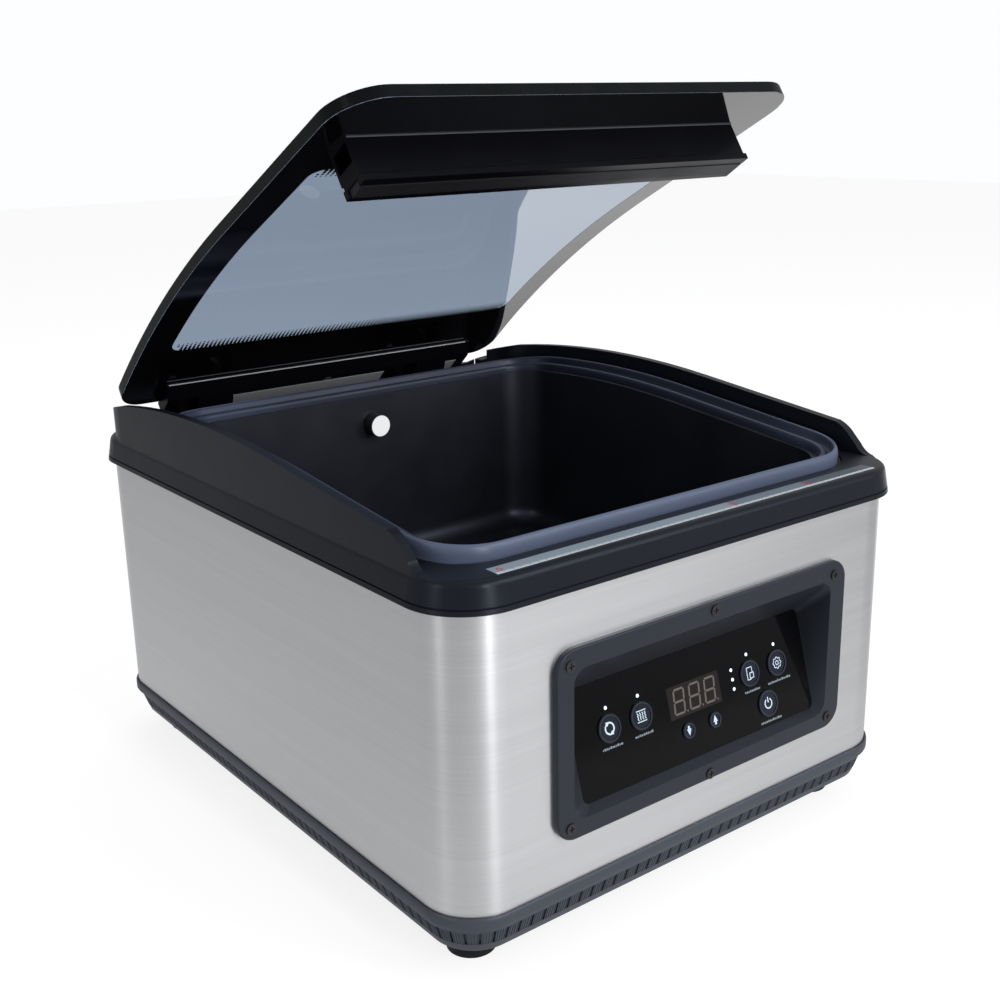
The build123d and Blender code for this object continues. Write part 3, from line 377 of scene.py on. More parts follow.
# A pale grey for a painted highlight line along the counter bar's front edge.
PAINTED_EDGE_LINE = moulded("painted_edge_grey", (0.070, 0.075, 0.085), 0.4)
SILICONE = moulded("silicone_pad", (0.012, 0.011, 0.012), 0.55, 600.0, 0.2)
PLATE_GLOSS = gloss("plate_gloss", (0.0016, 0.0016, 0.0022), 0.08, 0.21)
KEY_GLOSS = gloss("key_gloss", (0.006, 0.009, 0.018), 0.14)
FRIT = gloss("frit_black", (0.0022, 0.0022, 0.003), 0.05, 0.55, 1.66)
EDGE = gloss("lid_edge", (0.0015, 0.003, 0.004), 0.25, 0.12)
SMOKED = gloss("display_window", (0.010, 0.007, 0.007), 0.08)
GLASS = window_glass()
KNOB = knob_painted_light()
SILVER = metal("bright_metal", (0.90, 0.90, 0.90), 0.30, (1, 1, 1), 900.0, 0.05)
WASHER = moulded("washer_polymer", (0.020, 0.020, 0.022), 0.5)
GROUND = metal("plain_steel", (0.48, 0.48, 0.49), 0.34)
# A pale grey that paints in the sheen of the hinge bar's bare strip and the highlight along its knee.
BARE_SHEEN = moulded("bare_strip_painted_sheen", (0.50, 0.51, 0.53), 0.34, 500.0, 0.1)
ALLOY = metal("cast_alloy", (0.58, 0.58, 0.60), 0.5, (1, 1, 1), 260.0, 0.3)
SCREW = metal("screw_black", (0.085, 0.085, 0.092), 0.36)
WIRE = metal("wire_metal", (0.66, 0.60, 0.52), 0.3)
COPPER = metal("coil_copper", (0.60, 0.27, 0.12), 0.45, (1, 1, 12), 120.0)
IRON = metal("core_iron", (0.13, 0.12, 0.11), 0.6, (1, 18, 1), 60.0)
MOTOR = moulded("motor_paint", (0.030, 0.034, 0.040), 0.45)
BOARD = moulded("board_green", (0.012, 0.090, 0.035), 0.4, 200.0, 0.3, 0.25)
PTFE = moulded("ptfe_tape", (0.30, 0.19, 0.10), 0.5, 420.0, 0.5)
LIGHT = glowing("light_white", (0.80, 0.92, 1.0), 0.9)
PRINT = glowing("key_print", (0.62, 0.76, 0.90), 0.25)
SEGMENT = moulded("unlit_segment", (0.135, 0.108, 0.088), 0.5)
CAPTION = moulded("caption_print", (0.26, 0.31, 0.36), 0.4)
# A pale blue-grey for the painted highlight of each key's raised ring.
RING_HIGHLIGHT = moulded("key_ring_highlight", (0.045, 0.055, 0.080), 0.3)
LABEL_LIGHT = moulded("label_light", (0.30, 0.37, 0.43), 0.35)
LABEL_MID = moulded("label_mid", (0.17, 0.22, 0.27), 0.35)
LABEL_DARK = moulded("label_dark", (0.075, 0.095, 0.12), 0.35)
LABEL_WHITE = moulded("label_white", (0.62, 0.68, 0.72), 0.35)
LABEL_INK = moulded("label_ink", (0.05, 0.06, 0.08), 0.4)
LABEL_RED = moulded("label_red", (0.62, 0.03, 0.04), 0.4)

# Nodes that are missing here are the keys, which take KEY_GLOSS.
LOOKS = {
    "steel_wrap": STEEL,
    "top_cover": COVER,
    "base_tray": TRAY,
    "chamber": TUB,
    "chamber_gasket": GASKET,
    "rubber_feet": RUBBER,
    "pump_mounts": RUBBER,
    "foot_screws": SCREW,
    "bezel_screws": SCREW,
    "hinge_screws": SCREW,
    "ruler_label": LABEL_LIGHT,
    "panel_bezel": BEZEL,
    "panel_plate": PLATE_GLOSS,
    "display_module": SMOKED,
    "indicator_lights": LIGHT,
    "control_board": BOARD,
    "power_board": BOARD,
    "wall_knob": KNOB,
    "vacuum_port": ALLOY,
    "lift_cylinders": ALLOY,
    "pump_head": ALLOY,
    "lift_valve": ALLOY,
    "vent_valve": ALLOY,
    "hinge_brackets": SCREW,
    "hinge_pins": GROUND,
    "lift_pins": GROUND,
    "sensor_magnet": GROUND,
    "hinge_washers": WASHER,
    "lid_sensor": DARK,
    "pump_motor": MOTOR,
    "suction_hose": RUBBER,
    "lift_line": RUBBER,
    "transformer_core": IRON,
    "transformer_coils": COPPER,
    "fan_frame": DARK,
    "fan_rotor": DARK,
    "inlet_socket": DARK,
    "rocker_frame": DARK,
    "power_rocker": DARK,
    "lid_glass": GLASS,
    "hinge_bar": BAR_BLACK,
    "counter_bar": BAR_BLACK,
    "silicone_strip": SILICONE,
    "seal_bar": ALLOY,
    "heating_wire": WIRE,
    "ptfe_tape": PTFE,
}
for node_name, node_object in NODES.items():
    look = LOOKS.get(node_name, KEY_GLOSS)
    node_object.data.materials.clear()
    node_object.data.materials.append(look)


def soften(node_name, width, segments=2, angle=35.0):
    """Breaks the sharp moulded edges of a CAD piece."""
    bevel = NODES[node_name].modifiers.new("edge", "BEVEL")
    bevel.width = width * MM
    bevel.segments = segments
    bevel.limit_method = "ANGLE"
    bevel.angle_limit = math.radians(angle)
    bevel.use_clamp_overlap = True
    bevel.harden_normals = False


soften("top_cover", 1.2, 3)
soften("hinge_bar", 0.5)
soften("counter_bar", 0.4)
soften("seal_bar", 0.4)

# ---------------------------------------------------------------- mesh pieces


def piece(name, verts, faces, material, body, smooth=True):
    """A mesh from points in mm, riding on a CAD body."""
    mesh = bpy.data.meshes.new(name)
    mesh.from_pydata([tuple(c * MM for c in v) for v in verts], [], faces)
    mesh.materials.append(material)
    mesh.validate()
    obj = bpy.data.objects.new(name, mesh)
    bpy.context.scene.collection.objects.link(obj)
    if smooth:
        mesh.shade_smooth()
    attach(obj, body)
    return obj


def smooth_by_angle(obj, degrees):
    """Marks edges sharper than the angle, so that only gentle ones are smoothed."""
    mesh = obj.data
    mesh.update()
    normals = [Vector(p.normal) for p in mesh.polygons]
    touching = {}
    for index, polygon in enumerate(mesh.polygons):
        for key in polygon.edge_keys:
            touching.setdefault(key, []).append(index)
    limit = math.cos(math.radians(degrees))
    for edge in mesh.edges:
        pair = touching.get(tuple(sorted(edge.vertices)), [])
        if len(pair) == 2 and normals[pair[0]].dot(normals[pair[1]]) < limit:
            edge.use_edge_sharp = True


def rounded_outline(half_w, y0, y1, radius, step):
    """Points and outward normals round a rounded rectangle, anticlockwise, about step mm apart."""
    points = []
    corners = [
        (half_w - radius, y0 + radius, -90),
        (half_w - radius, y1 - radius, 0),
        (-half_w + radius, y1 - radius, 90),
        (-half_w + radius, y0 + radius, 180),
    ]
    arc_count = max(6, int(math.pi / 2 * radius / step))
    for index, (cx, cy, start) in enumerate(corners):
        for k in range(arc_count + 1):
            turn = math.radians(start + 90.0 * k / arc_count)
            normal = (math.cos(turn), math.sin(turn))
            points.append((cx + radius * normal[0], cy + radius * normal[1], *normal))
        next_cx, next_cy, next_start = corners[(index + 1) % 4]
        turn = math.radians(start + 90.0)
        normal = (math.cos(turn), math.sin(turn))
        begin = (cx + radius * normal[0], cy + radius * normal[1])
        end = (next_cx + radius * normal[0], next_cy + radius * normal[1])
        count = max(2, int(math.dist(begin, end) / step))
        for k in range(1, count):
            t = k / count
            x = begin[0] + (end[0] - begin[0]) * t
            y = begin[1] + (end[1] - begin[1]) * t
            points.append((x, y, *normal))
    return points


def sweep_faces(rings, size, closed_profile):
    """Quads between neighbouring rings of a closed sweep."""
    faces = []
    last = size if closed_profile else size - 1
    for r in range(rings):
        s = (r + 1) % rings
        for k in range(last):
            m = (k + 1) % size
            faces.append((r * size + k, s * size + k, s * size + m, r * size + m))
    return faces


def gasket():
    """Blue-grey seal: an outer lip, a hollow, and a lower inner bead, swept round the tub's rim."""
    top = GASKET_TOP
    section = [
        (0.0, GASKET_FLOOR),
        (0.0, top + 7.4),
        (0.25, top + 5.6),
        (0.2, top + 3.4),
        (-0.2, top + 1.5),
        (-0.9, top + 0.35),
        (-1.8, top),
        (-2.7, top + 0.5),
        (-3.3, top + 1.8),
        (-3.6, top + 3.8),
        (-4.3, top + 5.5),
        (-5.4, top + 6.1),
        (-6.5, top + 5.6),
        (-7.4, top + 4.6),
        (-8.6, top + 4.1),
        (-9.8, top + 4.4),
        (-10.7, top + 5.4),
        (-11.0, top + 7.0),
        (-11.0, GASKET_FLOOR),
    ]
    path = rounded_outline(GASKET_HALF_W, GASKET_FRONT_Y, GASKET_BACK_Y, GASKET_R, 4.0)
    verts = []
    for x, y, nx, ny in path:
        for offset, drop in section:
            py = y + ny * offset
            verts.append((x + nx * offset, py, crown_z(py, drop)))
    faces = sweep_faces(len(path), len(section), True)
    obj = piece("gasket_seal", verts, faces, GASKET, "housing")
    obj.data.materials.append(GASKET_SHADED_INNER)
    # Faces from the crest inwards, the groove and inner bead, take the darker copy: painted shade.
    crest = section.index((-2.7, top + 0.5))
    for index, polygon in enumerate(obj.data.polygons):
        polygon.material_index = 1 if index % len(section) >= crest else 0
    smooth_by_angle(obj, 50)
    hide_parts("chamber_gasket")


SLIT_PITCH = 8.5
SLIT_W = 1.7
SLIT_DEPTH = 1.6
SLIT_LOW_Z = 11.0
SLIT_HIGH_Z = 19.6
RIB_W = 0.7
RIB_DEPTH = 0.35


def tray():
    """Floor tray: a rounded bead over a band that tapers in and is cut by narrow upright slits."""

    def band_offset(z):
        return -6.5 + 6.1 * (z - 5.0) / 18.0

    base = rounded_outline(BODY_HALF_W, -BODY_HALF_D, BODY_HALF_D, BODY_R, 2.0)
    lengths = [0.0]
    for a, b in zip(base, base[1:] + base[:1]):
        lengths.append(lengths[-1] + math.dist(a[:2], b[:2]))
    total = lengths[-1]
    count = round(total / SLIT_PITCH)
    pitch = total / count

    def at(distance):
        distance %= total
        low = 0
        high = len(base)
        while high - low > 1:
            middle = (low + high) // 2
            if lengths[middle] <= distance:
                low = middle
            else:
                high = middle
        a = base[low]
        b = base[(low + 1) % len(base)]
        t = (distance - lengths[low]) / (lengths[low + 1] - lengths[low])
        return [a[i] + (b[i] - a[i]) * t for i in range(4)]

    stations = []
    for k in range(count):
        start = k * pitch
        plain = pitch - SLIT_W
        ribs = 4
        for r in range(ribs):
            left = start + plain * (r + 0.5) / ribs - RIB_W / 2
            stations.append((left - 0.1, 0.0))
            stations.append((left, RIB_DEPTH))
            stations.append((left + RIB_W, RIB_DEPTH))
            stations.append((left + RIB_W + 0.1, 0.0))
        stations.append((start + plain - 0.06, 0.0))
        stations.append((start + plain, SLIT_DEPTH))
        stations.append((start + pitch - 0.06, SLIT_DEPTH))
        stations.append((start + pitch - 0.01, 0.0))

    verts = []
    size = 0
    for distance, push in stations:
        x, y, nx, ny = at(distance)
        low = band_offset(SLIT_LOW_Z)
        high = band_offset(SLIT_HIGH_Z)
        profile = [
            (-9.0, 5.0),
            (-7.6, 5.3),
            (-6.5, 6.2),
            (-5.9, 7.6),
            (low, SLIT_LOW_Z),
            (low - push, SLIT_LOW_Z + 0.05),
            (high - push, SLIT_HIGH_Z - 0.05),
            (high, SLIT_HIGH_Z),
            (-0.4, 22.7),
            (0.6, 22.9),
            (1.4, 23.3),
            (1.8, 24.1),
            (1.8, 28.6),
            (1.5, 29.6),
            (0.95, 30.1),
            (0.5, 29.9),
            (0.25, 28.8),
            (0.06, 27.8),
            (0.06, 24.0),
            (-4.0, 24.0),
            (-4.0, 22.0),
            (-9.0, 22.0),
            (-9.0, 8.0),
        ]
        size = len(profile)
        for offset, z in profile:
            verts.append((x + nx * offset, y + ny * offset, z + DATUM_Z))
    rings = len(stations)
    faces = sweep_faces(rings, size, False)
    faces.append(tuple(r * size for r in reversed(range(rings))))
    faces.append(tuple(r * size + size - 1 for r in range(rings)))
    obj = piece("tray_ribbed", verts, faces, TRAY, "housing")
    smooth_by_angle(obj, 32)
    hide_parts("base_tray")


def lid_width(y):
    """Half width of the lid's outline at y."""
    front = LID_FRONT_Y + LID_R - y
    rear = y - (LID_REAR_Y - LID_REAR_R)
    if front > 0:
        reach = min(front, LID_R)
        return LID_HALF_W - LID_R + math.sqrt(LID_R * LID_R - reach * reach)
    if rear > 0:
        reach = min(rear, LID_REAR_R)
        return LID_HALF_W - LID_REAR_R + math.sqrt(LID_REAR_R * LID_REAR_R - reach * reach)
    return LID_HALF_W


def lid_rows():
    """Stations along the lid, close together at its rounded corners."""
    rows = [LID_FRONT_Y + LID_R * (1 - math.cos(math.radians(7.5 * k))) for k in range(13)]
    middle = 44
    start = LID_FRONT_Y + LID_R
    length = LID_REAR_Y - LID_REAR_R - start
    rows += [start + length * k / middle for k in range(1, middle)]
    rows += [LID_REAR_Y - LID_REAR_R * (1 - math.sin(math.radians(7.5 * k))) for k in range(13)]
    return rows


def lid_panel():
    """The curved sheet of glass, its long edges rounded over."""
    rows = lid_rows()
    columns = 24
    verts = []
    for drop in (0.0, LID_T):
        for y in rows:
            for c in range(columns + 1):
                x = lid_width(y) * (2.0 * c / columns - 1.0)
                verts.append(opened(x, y, crown_z(y, drop)))
    wide = columns + 1
    layer = wide * len(rows)
    faces = []
    for r in range(len(rows) - 1):
        for c in range(columns):
            a = r * wide + c
            faces.append((a, a + 1, a + wide + 1, a + wide))
            faces.append((layer + a, layer + a + wide, layer + a + wide + 1, layer + a + 1))
    rim = list(range(wide))
    rim += [r * wide + columns for r in range(1, len(rows))]
    rim += [(len(rows) - 1) * wide + c for c in reversed(range(columns))]
    rim += [r * wide for r in reversed(range(1, len(rows) - 1))]
    edge_start = len(faces)
    for a, b in zip(rim, rim[1:] + rim[:1]):
        faces.append((a, a + layer, b + layer, b))
    obj = piece("lid_sheet", verts, faces, GLASS, "lid")
    obj.data.materials.append(EDGE)
    for index in range(edge_start, len(faces)):
        obj.data.polygons[index].material_index = 1
    smooth_by_angle(obj, 40)
    bevel = obj.modifiers.new("rim", "BEVEL")
    bevel.width = 0.3 * MM
    bevel.segments = 2
    bevel.limit_method = "ANGLE"
    bevel.angle_limit = math.radians(50)
    bevel.material = 1
    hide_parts("lid_glass")


FRIT_DROP = LID_T + 0.03
FRIT_T = 0.12


def lid_border():
    """The black printed border on the glass's inner face, with the window left open."""
    inset = 0.3
    count = 160
    radii = (LID_R - inset, LID_REAR_R - inset)
    outer = even_outline(LID_HALF_W - inset, LID_FRONT_Y + inset, LID_REAR_Y - inset, radii, count)
    inner = even_outline(*WINDOW[:3], (WINDOW[3], WINDOW[3]), count)
    bands = 12
    verts = []
    for level in (FRIT_DROP, FRIT_DROP + FRIT_T):
        for (ox, oy), (ix, iy) in zip(outer, inner):
            for k in range(bands + 1):
                t = k / bands
                x = ox + (ix - ox) * t
                y = oy + (iy - oy) * t
                verts.append(opened(x, y, crown_z(y, level)))
    size = bands + 1
    layer = size * count
    faces = []
    for r in range(count):
        s = (r + 1) % count
        for k in range(bands):
            a = r * size + k
            b = s * size + k
            faces.append((a, b, b + 1, a + 1))
            faces.append((layer + a, layer + a + 1, layer + b + 1, layer + b))
        faces.append((r * size, layer + r * size, layer + s * size, s * size))
        a = r * size + bands
        b = s * size + bands
        faces.append((a, b, layer + b, layer + a))
    obj = piece("lid_border", verts, faces, FRIT, "lid")
    smooth_by_angle(obj, 40)


def even_outline(half_w, y0, y1, radii, count):
    """count points spread over a rounded rectangle, the same share on each side and corner."""
    per_side = count // 4 - 6
    front, rear = radii
    points = []
    corners = [
        (half_w - front, y0 + front, -90, front),
        (half_w - rear, y1 - rear, 0, rear),
        (-half_w + rear, y1 - rear, 90, rear),
        (-half_w + front, y0 + front, 180, front),
    ]
    for index, (cx, cy, start, radius) in enumerate(corners):
        for k in range(6):
            turn = math.radians(start + 90.0 * k / 6)
            points.append((cx + radius * math.cos(turn), cy + radius * math.sin(turn)))
        turn = math.radians(start + 90.0)
        next_cx, next_cy, _, next_radius = corners[(index + 1) % 4]
        begin = (cx + radius * math.cos(turn), cy + radius * math.sin(turn))
        end = (next_cx + next_radius * math.cos(turn), next_cy + next_radius * math.sin(turn))
        for k in range(per_side):
            t = k / per_side
            points.append((begin[0] + (end[0] - begin[0]) * t, begin[1] + (end[1] - begin[1]) * t))
    return points


def fade_dots():
    """Rows of printed dots that shrink from the border into the window."""
    half_w, y0, y1, radius = WINDOW
    pitch = 3.1
    sides = 8
    verts = []
    faces = []
    for edge, inward in ((y0, 1), (y1, -1)):
        for row, dot in enumerate((1.32, 1.12, 0.88, 0.6)):
            y = edge + inward * (1.2 + row * 2.3)
            span = half_w - 1.6 - max(0.0, radius * 0.5 - row * 1.6)
            count = int(2 * span / pitch)
            shift = 0.5 * (row % 2)
            for k in range(count):
                x = (k - (count - 1) / 2 + shift) * pitch
                if abs(x) > span:
                    continue
                first = len(verts)
                for level in (FRIT_DROP, FRIT_DROP + FRIT_T):
                    for s in range(sides):
                        turn = 2 * math.pi * s / sides
                        py = y + dot * math.sin(turn)
                        verts.append(opened(x + dot * math.cos(turn), py, crown_z(py, level)))
                faces.append(tuple(first + s for s in range(sides)))
                faces.append(tuple(first + sides + s for s in reversed(range(sides))))
                for s in range(sides):
                    n = (s + 1) % sides
                    faces.append((first + s, first + sides + s, first + sides + n, first + n))
    obj = piece("lid_fade_dots", verts, faces, FRIT, "lid", smooth=False)


BAR_LEFT_X = box_mm("counter_bar")[0][0]
BAR_RIGHT_X = box_mm("counter_bar")[1][0]
BAR_FRONT_Y = -160.0


def bar_edge_highlight():
    """A thin pale line along the counter bar's front edge where it meets the glass: a painted highlight."""
    verts = []
    size = 0.75
    for x in (BAR_LEFT_X, BAR_RIGHT_X):
        for y, drop in ((0, 0), (size * 0.7, 0), (size * 0.7, size), (0.2, size), (0, size * 0.6)):
            py = BAR_FRONT_Y - size * 0.65 + y
            verts.append(opened(x, py, crown_z(py, FRIT_DROP + FRIT_T + drop)))
    faces = [(k, k + 5, (k + 1) % 5 + 5, (k + 1) % 5) for k in range(5)]
    faces.append((0, 1, 2, 3, 4))
    faces.append((9, 8, 7, 6, 5))
    obj = piece("bar_edge_highlight", verts, faces, PAINTED_EDGE_LINE, "lid", smooth=False)


# Pale strips on the hinge bar, their paleness painted sheen and highlight: name, reach in X, reach in Y, and
# depth below the lid's top.
HINGE_STRIPS = (
    ("hinge_face_long", (-98.0, 52.0), (176.0, 187.4), (LID_T + 9.03, LID_T + 9.28)),
    ("hinge_face_short", (96.0, 122.0), (176.0, 187.4), (LID_T + 9.03, LID_T + 9.28)),
    ("hinge_knee_highlight", (-131.0, 128.0), (162.8, 162.97), (LID_T + 1.5, LID_T + 2.3)),
)


def hinge_strips():
    """Pale strips on the hinge bar's lower face between its knuckles, a bare strip whose pale colour paints
    in its sheen, and along its front knee, a painted highlight.
    """
    for name, (x0, x1), (y0, y1), drops in HINGE_STRIPS:
        verts = []
        for drop in drops:
            for x, y in ((x0, y0), (x1, y0), (x1, y1), (x0, y1)):
                verts.append(opened(x, y, crown_z(y, drop)))
        faces = [(0, 1, 2, 3), (7, 6, 5, 4)]
        faces += [(k, k + 4, (k + 1) % 4 + 4, (k + 1) % 4) for k in range(4)]
        obj = piece(name, verts, faces, BARE_SHEEN, "lid", smooth=False)
        bevel = obj.modifiers.new("edge", "BEVEL")
        bevel.width = 0.03 * MM
        bevel.segments = 1


# ---------------------------------------------------------------- print on the control plate


def flat_piece(name, shapes, lift, thickness, material, body):
    """Flat shapes on the control plate, given as lists of (x, y) in mm, made into thin solids."""
    matrix = plate_matrix(lift)
    verts = []
    faces = []
    for shape in shapes:
        first = len(verts)
        count = len(shape)
        for level in (0.0, thickness):
            for x, y in shape:
                verts.append(tuple((matrix @ Vector((x * MM, y * MM, level * MM))) / MM))
        faces.append(tuple(first + k for k in reversed(range(count))))
        faces.append(tuple(first + count + k for k in range(count)))
        for k in range(count):
            n = (k + 1) % count
            faces.append((first + k, first + n, first + count + n, first + count + k))
    piece(name, verts, faces, material, body, smooth=False)


def stroke(points, width):
    """A line of even width through points, as quads with mitred joints."""
    left = []
    right = []
    for index, (x, y) in enumerate(points):
        before = points[max(index - 1, 0)]
        after = points[min(index + 1, len(points) - 1)]
        dx = after[0] - before[0]
        dy = after[1] - before[1]
        length = math.hypot(dx, dy)
        nx = -dy / length * width / 2
        ny = dx / length * width / 2
        left.append((x + nx, y + ny))
        right.append((x - nx, y - ny))
    return [[right[k], right[k + 1], left[k + 1], left[k]] for k in range(len(points) - 1)]


def arc(cx, cy, radius, start, end, steps=14):
    """Points along an arc, with its ends in degrees."""
    turns = [math.radians(start + (end - start) * k / steps) for k in range(steps + 1)]
    return [(cx + radius * math.cos(t), cy + radius * math.sin(t)) for t in turns]


def arrow_head(x, y, angle, size):
    """A triangle whose tip points along angle."""
    turn = math.radians(angle)
    tip = (x + size * math.cos(turn), y + size * math.sin(turn))
    a = (x + size * 0.75 * math.cos(turn + 2.2), y + size * 0.75 * math.sin(turn + 2.2))
    b = (x + size * 0.75 * math.cos(turn - 2.2), y + size * 0.75 * math.sin(turn - 2.2))
    return [tip, a, b]


def icon_recirculate(cx, cy):
    """Two curved arrows chasing each other."""
    shapes = stroke(arc(cx, cy, 3.1, 120, 262), 0.95)
    shapes += stroke(arc(cx, cy, 3.1, -60, 82), 0.95)
    for start in (112, -68):
        tip = arc(cx, cy, 3.1, start, start + 1, 1)[0]
        shapes.append(arrow_head(*tip, start - 90, 2.1))
    return shapes


def icon_seal(cx, cy):
    """Four heat waves between two bars."""
    shapes = stroke([(cx - 3.6, cy + 3.1), (cx + 3.6, cy + 3.1)], 0.5)
    shapes += stroke([(cx - 3.6, cy - 3.1), (cx + 3.6, cy - 3.1)], 0.5)
    for k in range(4):
        x = cx - 2.7 + 1.8 * k
        wave = [(x + 0.35 * math.sin(t * 1.9), cy - 2.2 + 0.44 * t) for t in range(11)]
        shapes += stroke(wave, 0.55)
    return shapes


def icon_bag(cx, cy):
    """A bag with a smaller one before it."""
    shapes = stroke([(cx - 2.4, cy - 3.6), (cx - 2.4, cy + 3.6)], 0.5)
    shapes += stroke([(cx - 2.4, cy + 3.6), (cx + 2.0, cy + 3.6)], 0.5)
    shapes += stroke([(cx + 2.0, cy + 3.6), (cx + 2.0, cy + 0.6)], 0.5)
    shapes += stroke([(cx - 2.4, cy - 3.6), (cx + 0.4, cy - 3.6)], 0.5)
    shapes += stroke([(cx - 0.2, cy + 0.2), (cx - 0.2, cy - 3.0)], 0.55)
    shapes += stroke([(cx - 0.2, cy + 0.2), (cx + 2.8, cy + 0.2)], 0.55)
    shapes += stroke([(cx + 2.8, cy + 0.2), (cx + 2.8, cy - 3.0)], 0.55)
    shapes += stroke([(cx - 0.2, cy - 3.0), (cx + 2.8, cy - 3.0)], 0.55)
    return shapes


def icon_user(cx, cy):
    """A toothed wheel with a hole."""
    teeth = 8
    rim = []
    for k in range(teeth * 4 + 1):
        radius = 3.5 if k % 4 in (0, 1) else 2.8
        turn = 2 * math.pi * (k - 0.5) / (teeth * 4)
        rim.append((cx + radius * math.cos(turn), cy + radius * math.sin(turn)))
    return stroke(rim, 0.5) + stroke(arc(cx, cy, 1.2, 0, 360, 16), 0.5)


def icon_power(cx, cy):
    """A broken ring with an upright bar."""
    shapes = stroke(arc(cx, cy, 2.9, 122, 418, 24), 0.75)
    return shapes + stroke([(cx, cy + 0.6), (cx, cy + 3.9)], 0.75)


def icon_arrow(cx, cy, way):
    """A short arrow that points up (way 1) or down (way -1)."""
    shaft = stroke([(cx, cy - 2.7 * way), (cx, cy + 0.4 * way)], 1.3)
    return shaft + [arrow_head(cx, cy + 0.2 * way, 90 * way, 2.7)]


def key_print():
    """The symbol on each key, which moves with the key."""
    icons = {
        "recirculate": icon_recirculate,
        "seal": icon_seal,
        "bag": icon_bag,
        "user": icon_user,
        "power": icon_power,
    }
    for name, draw in icons.items():
        shapes = draw(*BIG_KEYS[name])
        flat_piece("symbol_" + name, shapes, KEY_FACE, 0.08, PRINT, "button_" + name)
    for name, way in (("down", -1), ("up", 1)):
        shapes = icon_arrow(*SMALL_KEYS[name], way)
        flat_piece("symbol_" + name, shapes, KEY_FACE, 0.08, PRINT, "button_" + name)


def caption_bars():
    """Plain bars below the keys, where the maker's words stood."""
    widths = (1.5, 0.9, 1.2, 0.7, 1.4, 1.0, 0.8, 1.3)
    shapes = []
    for name, span in (("recirculate", 7.0), ("seal", 6.8), ("bag", 6.2), ("user", 10.0), ("power", 8.4)):
        cx, cy = BIG_KEYS[name]
        y = cy - 10.6
        x = cx - span
        index = len(name)
        while x < cx + span:
            width = widths[index % len(widths)]
            tall = 0.45 if index % 3 else 0.75
            shapes.append([(x, y - 0.62), (x + width, y - 0.62), (x + width, y + tall), (x, y + tall)])
            x += width + 0.42
            index += 1
    flat_piece("caption_bars", shapes, 0.02, 0.05, CAPTION, "housing")


# The digits' spacing, their lean, and half the thickness of one segment.
DIGIT_PITCH = 12.4
DIGIT_LEAN = 0.09
SEGMENT_T = 0.62


def digits():
    """Three unlit seven-segment digits and their points, all leaning a little."""
    half_w = 3.9
    half_h = 7.0
    shapes = []
    for k in range(3):
        cx = DISPLAY[0] + (k - 1) * DIGIT_PITCH
        cy = DISPLAY[1]
        bars = [((-half_w + 0.8, half_h), (half_w - 0.8, half_h))]
        bars.append(((-half_w + 0.8, 0), (half_w - 0.8, 0)))
        bars.append(((-half_w + 0.8, -half_h), (half_w - 0.8, -half_h)))
        for side in (-1, 1):
            bars.append(((side * half_w, 0.8), (side * half_w, half_h - 0.8)))
            bars.append(((side * half_w, -half_h + 0.8), (side * half_w, -0.8)))
        t = SEGMENT_T
        for (ax, ay), (bx, by) in bars:
            if ay == by:
                hexagon = [(ax - t, ay), (ax, ay - t), (bx, by - t), (bx + t, by), (bx, by + t), (ax, ay + t)]
            else:
                hexagon = [(ax, ay - t), (ax + t, ay), (bx + t, by), (bx, by + t), (bx - t, by), (ax - t, ay)]
            shapes.append([(cx + x + DIGIT_LEAN * y, cy + y) for x, y in hexagon])
        shapes.append(arc(cx + half_w + 2.1 - DIGIT_LEAN * half_h, cy - half_h, 0.6, 0, 315, 7))
    flat_piece("display_segments", shapes, -0.03, 0.05, SEGMENT, "housing")


def key_ring_highlights():
    """A thin pale ring round each key's face, a painted highlight of its raised edge."""
    for keys, radius in ((BIG_KEYS, 8.0), (SMALL_KEYS, 4.6)):
        for name, (cx, cy) in keys.items():
            inner = arc(cx, cy, radius - 0.8, 0, 360, 48)
            shapes = stroke(inner, 0.35)
            flat_piece("ring_highlight_" + name, shapes, 0.9, 0.06, RING_HIGHLIGHT, "button_" + name)


# ---------------------------------------------------------------- bag-width scale on the lip


# The scale's length and the marks where its zones end, in cm.
SCALE_CM = 27.5
MARKS_CM = (16.0, 22.0)
STRIP_W = 2.0
TICK_HALF_W = 0.13


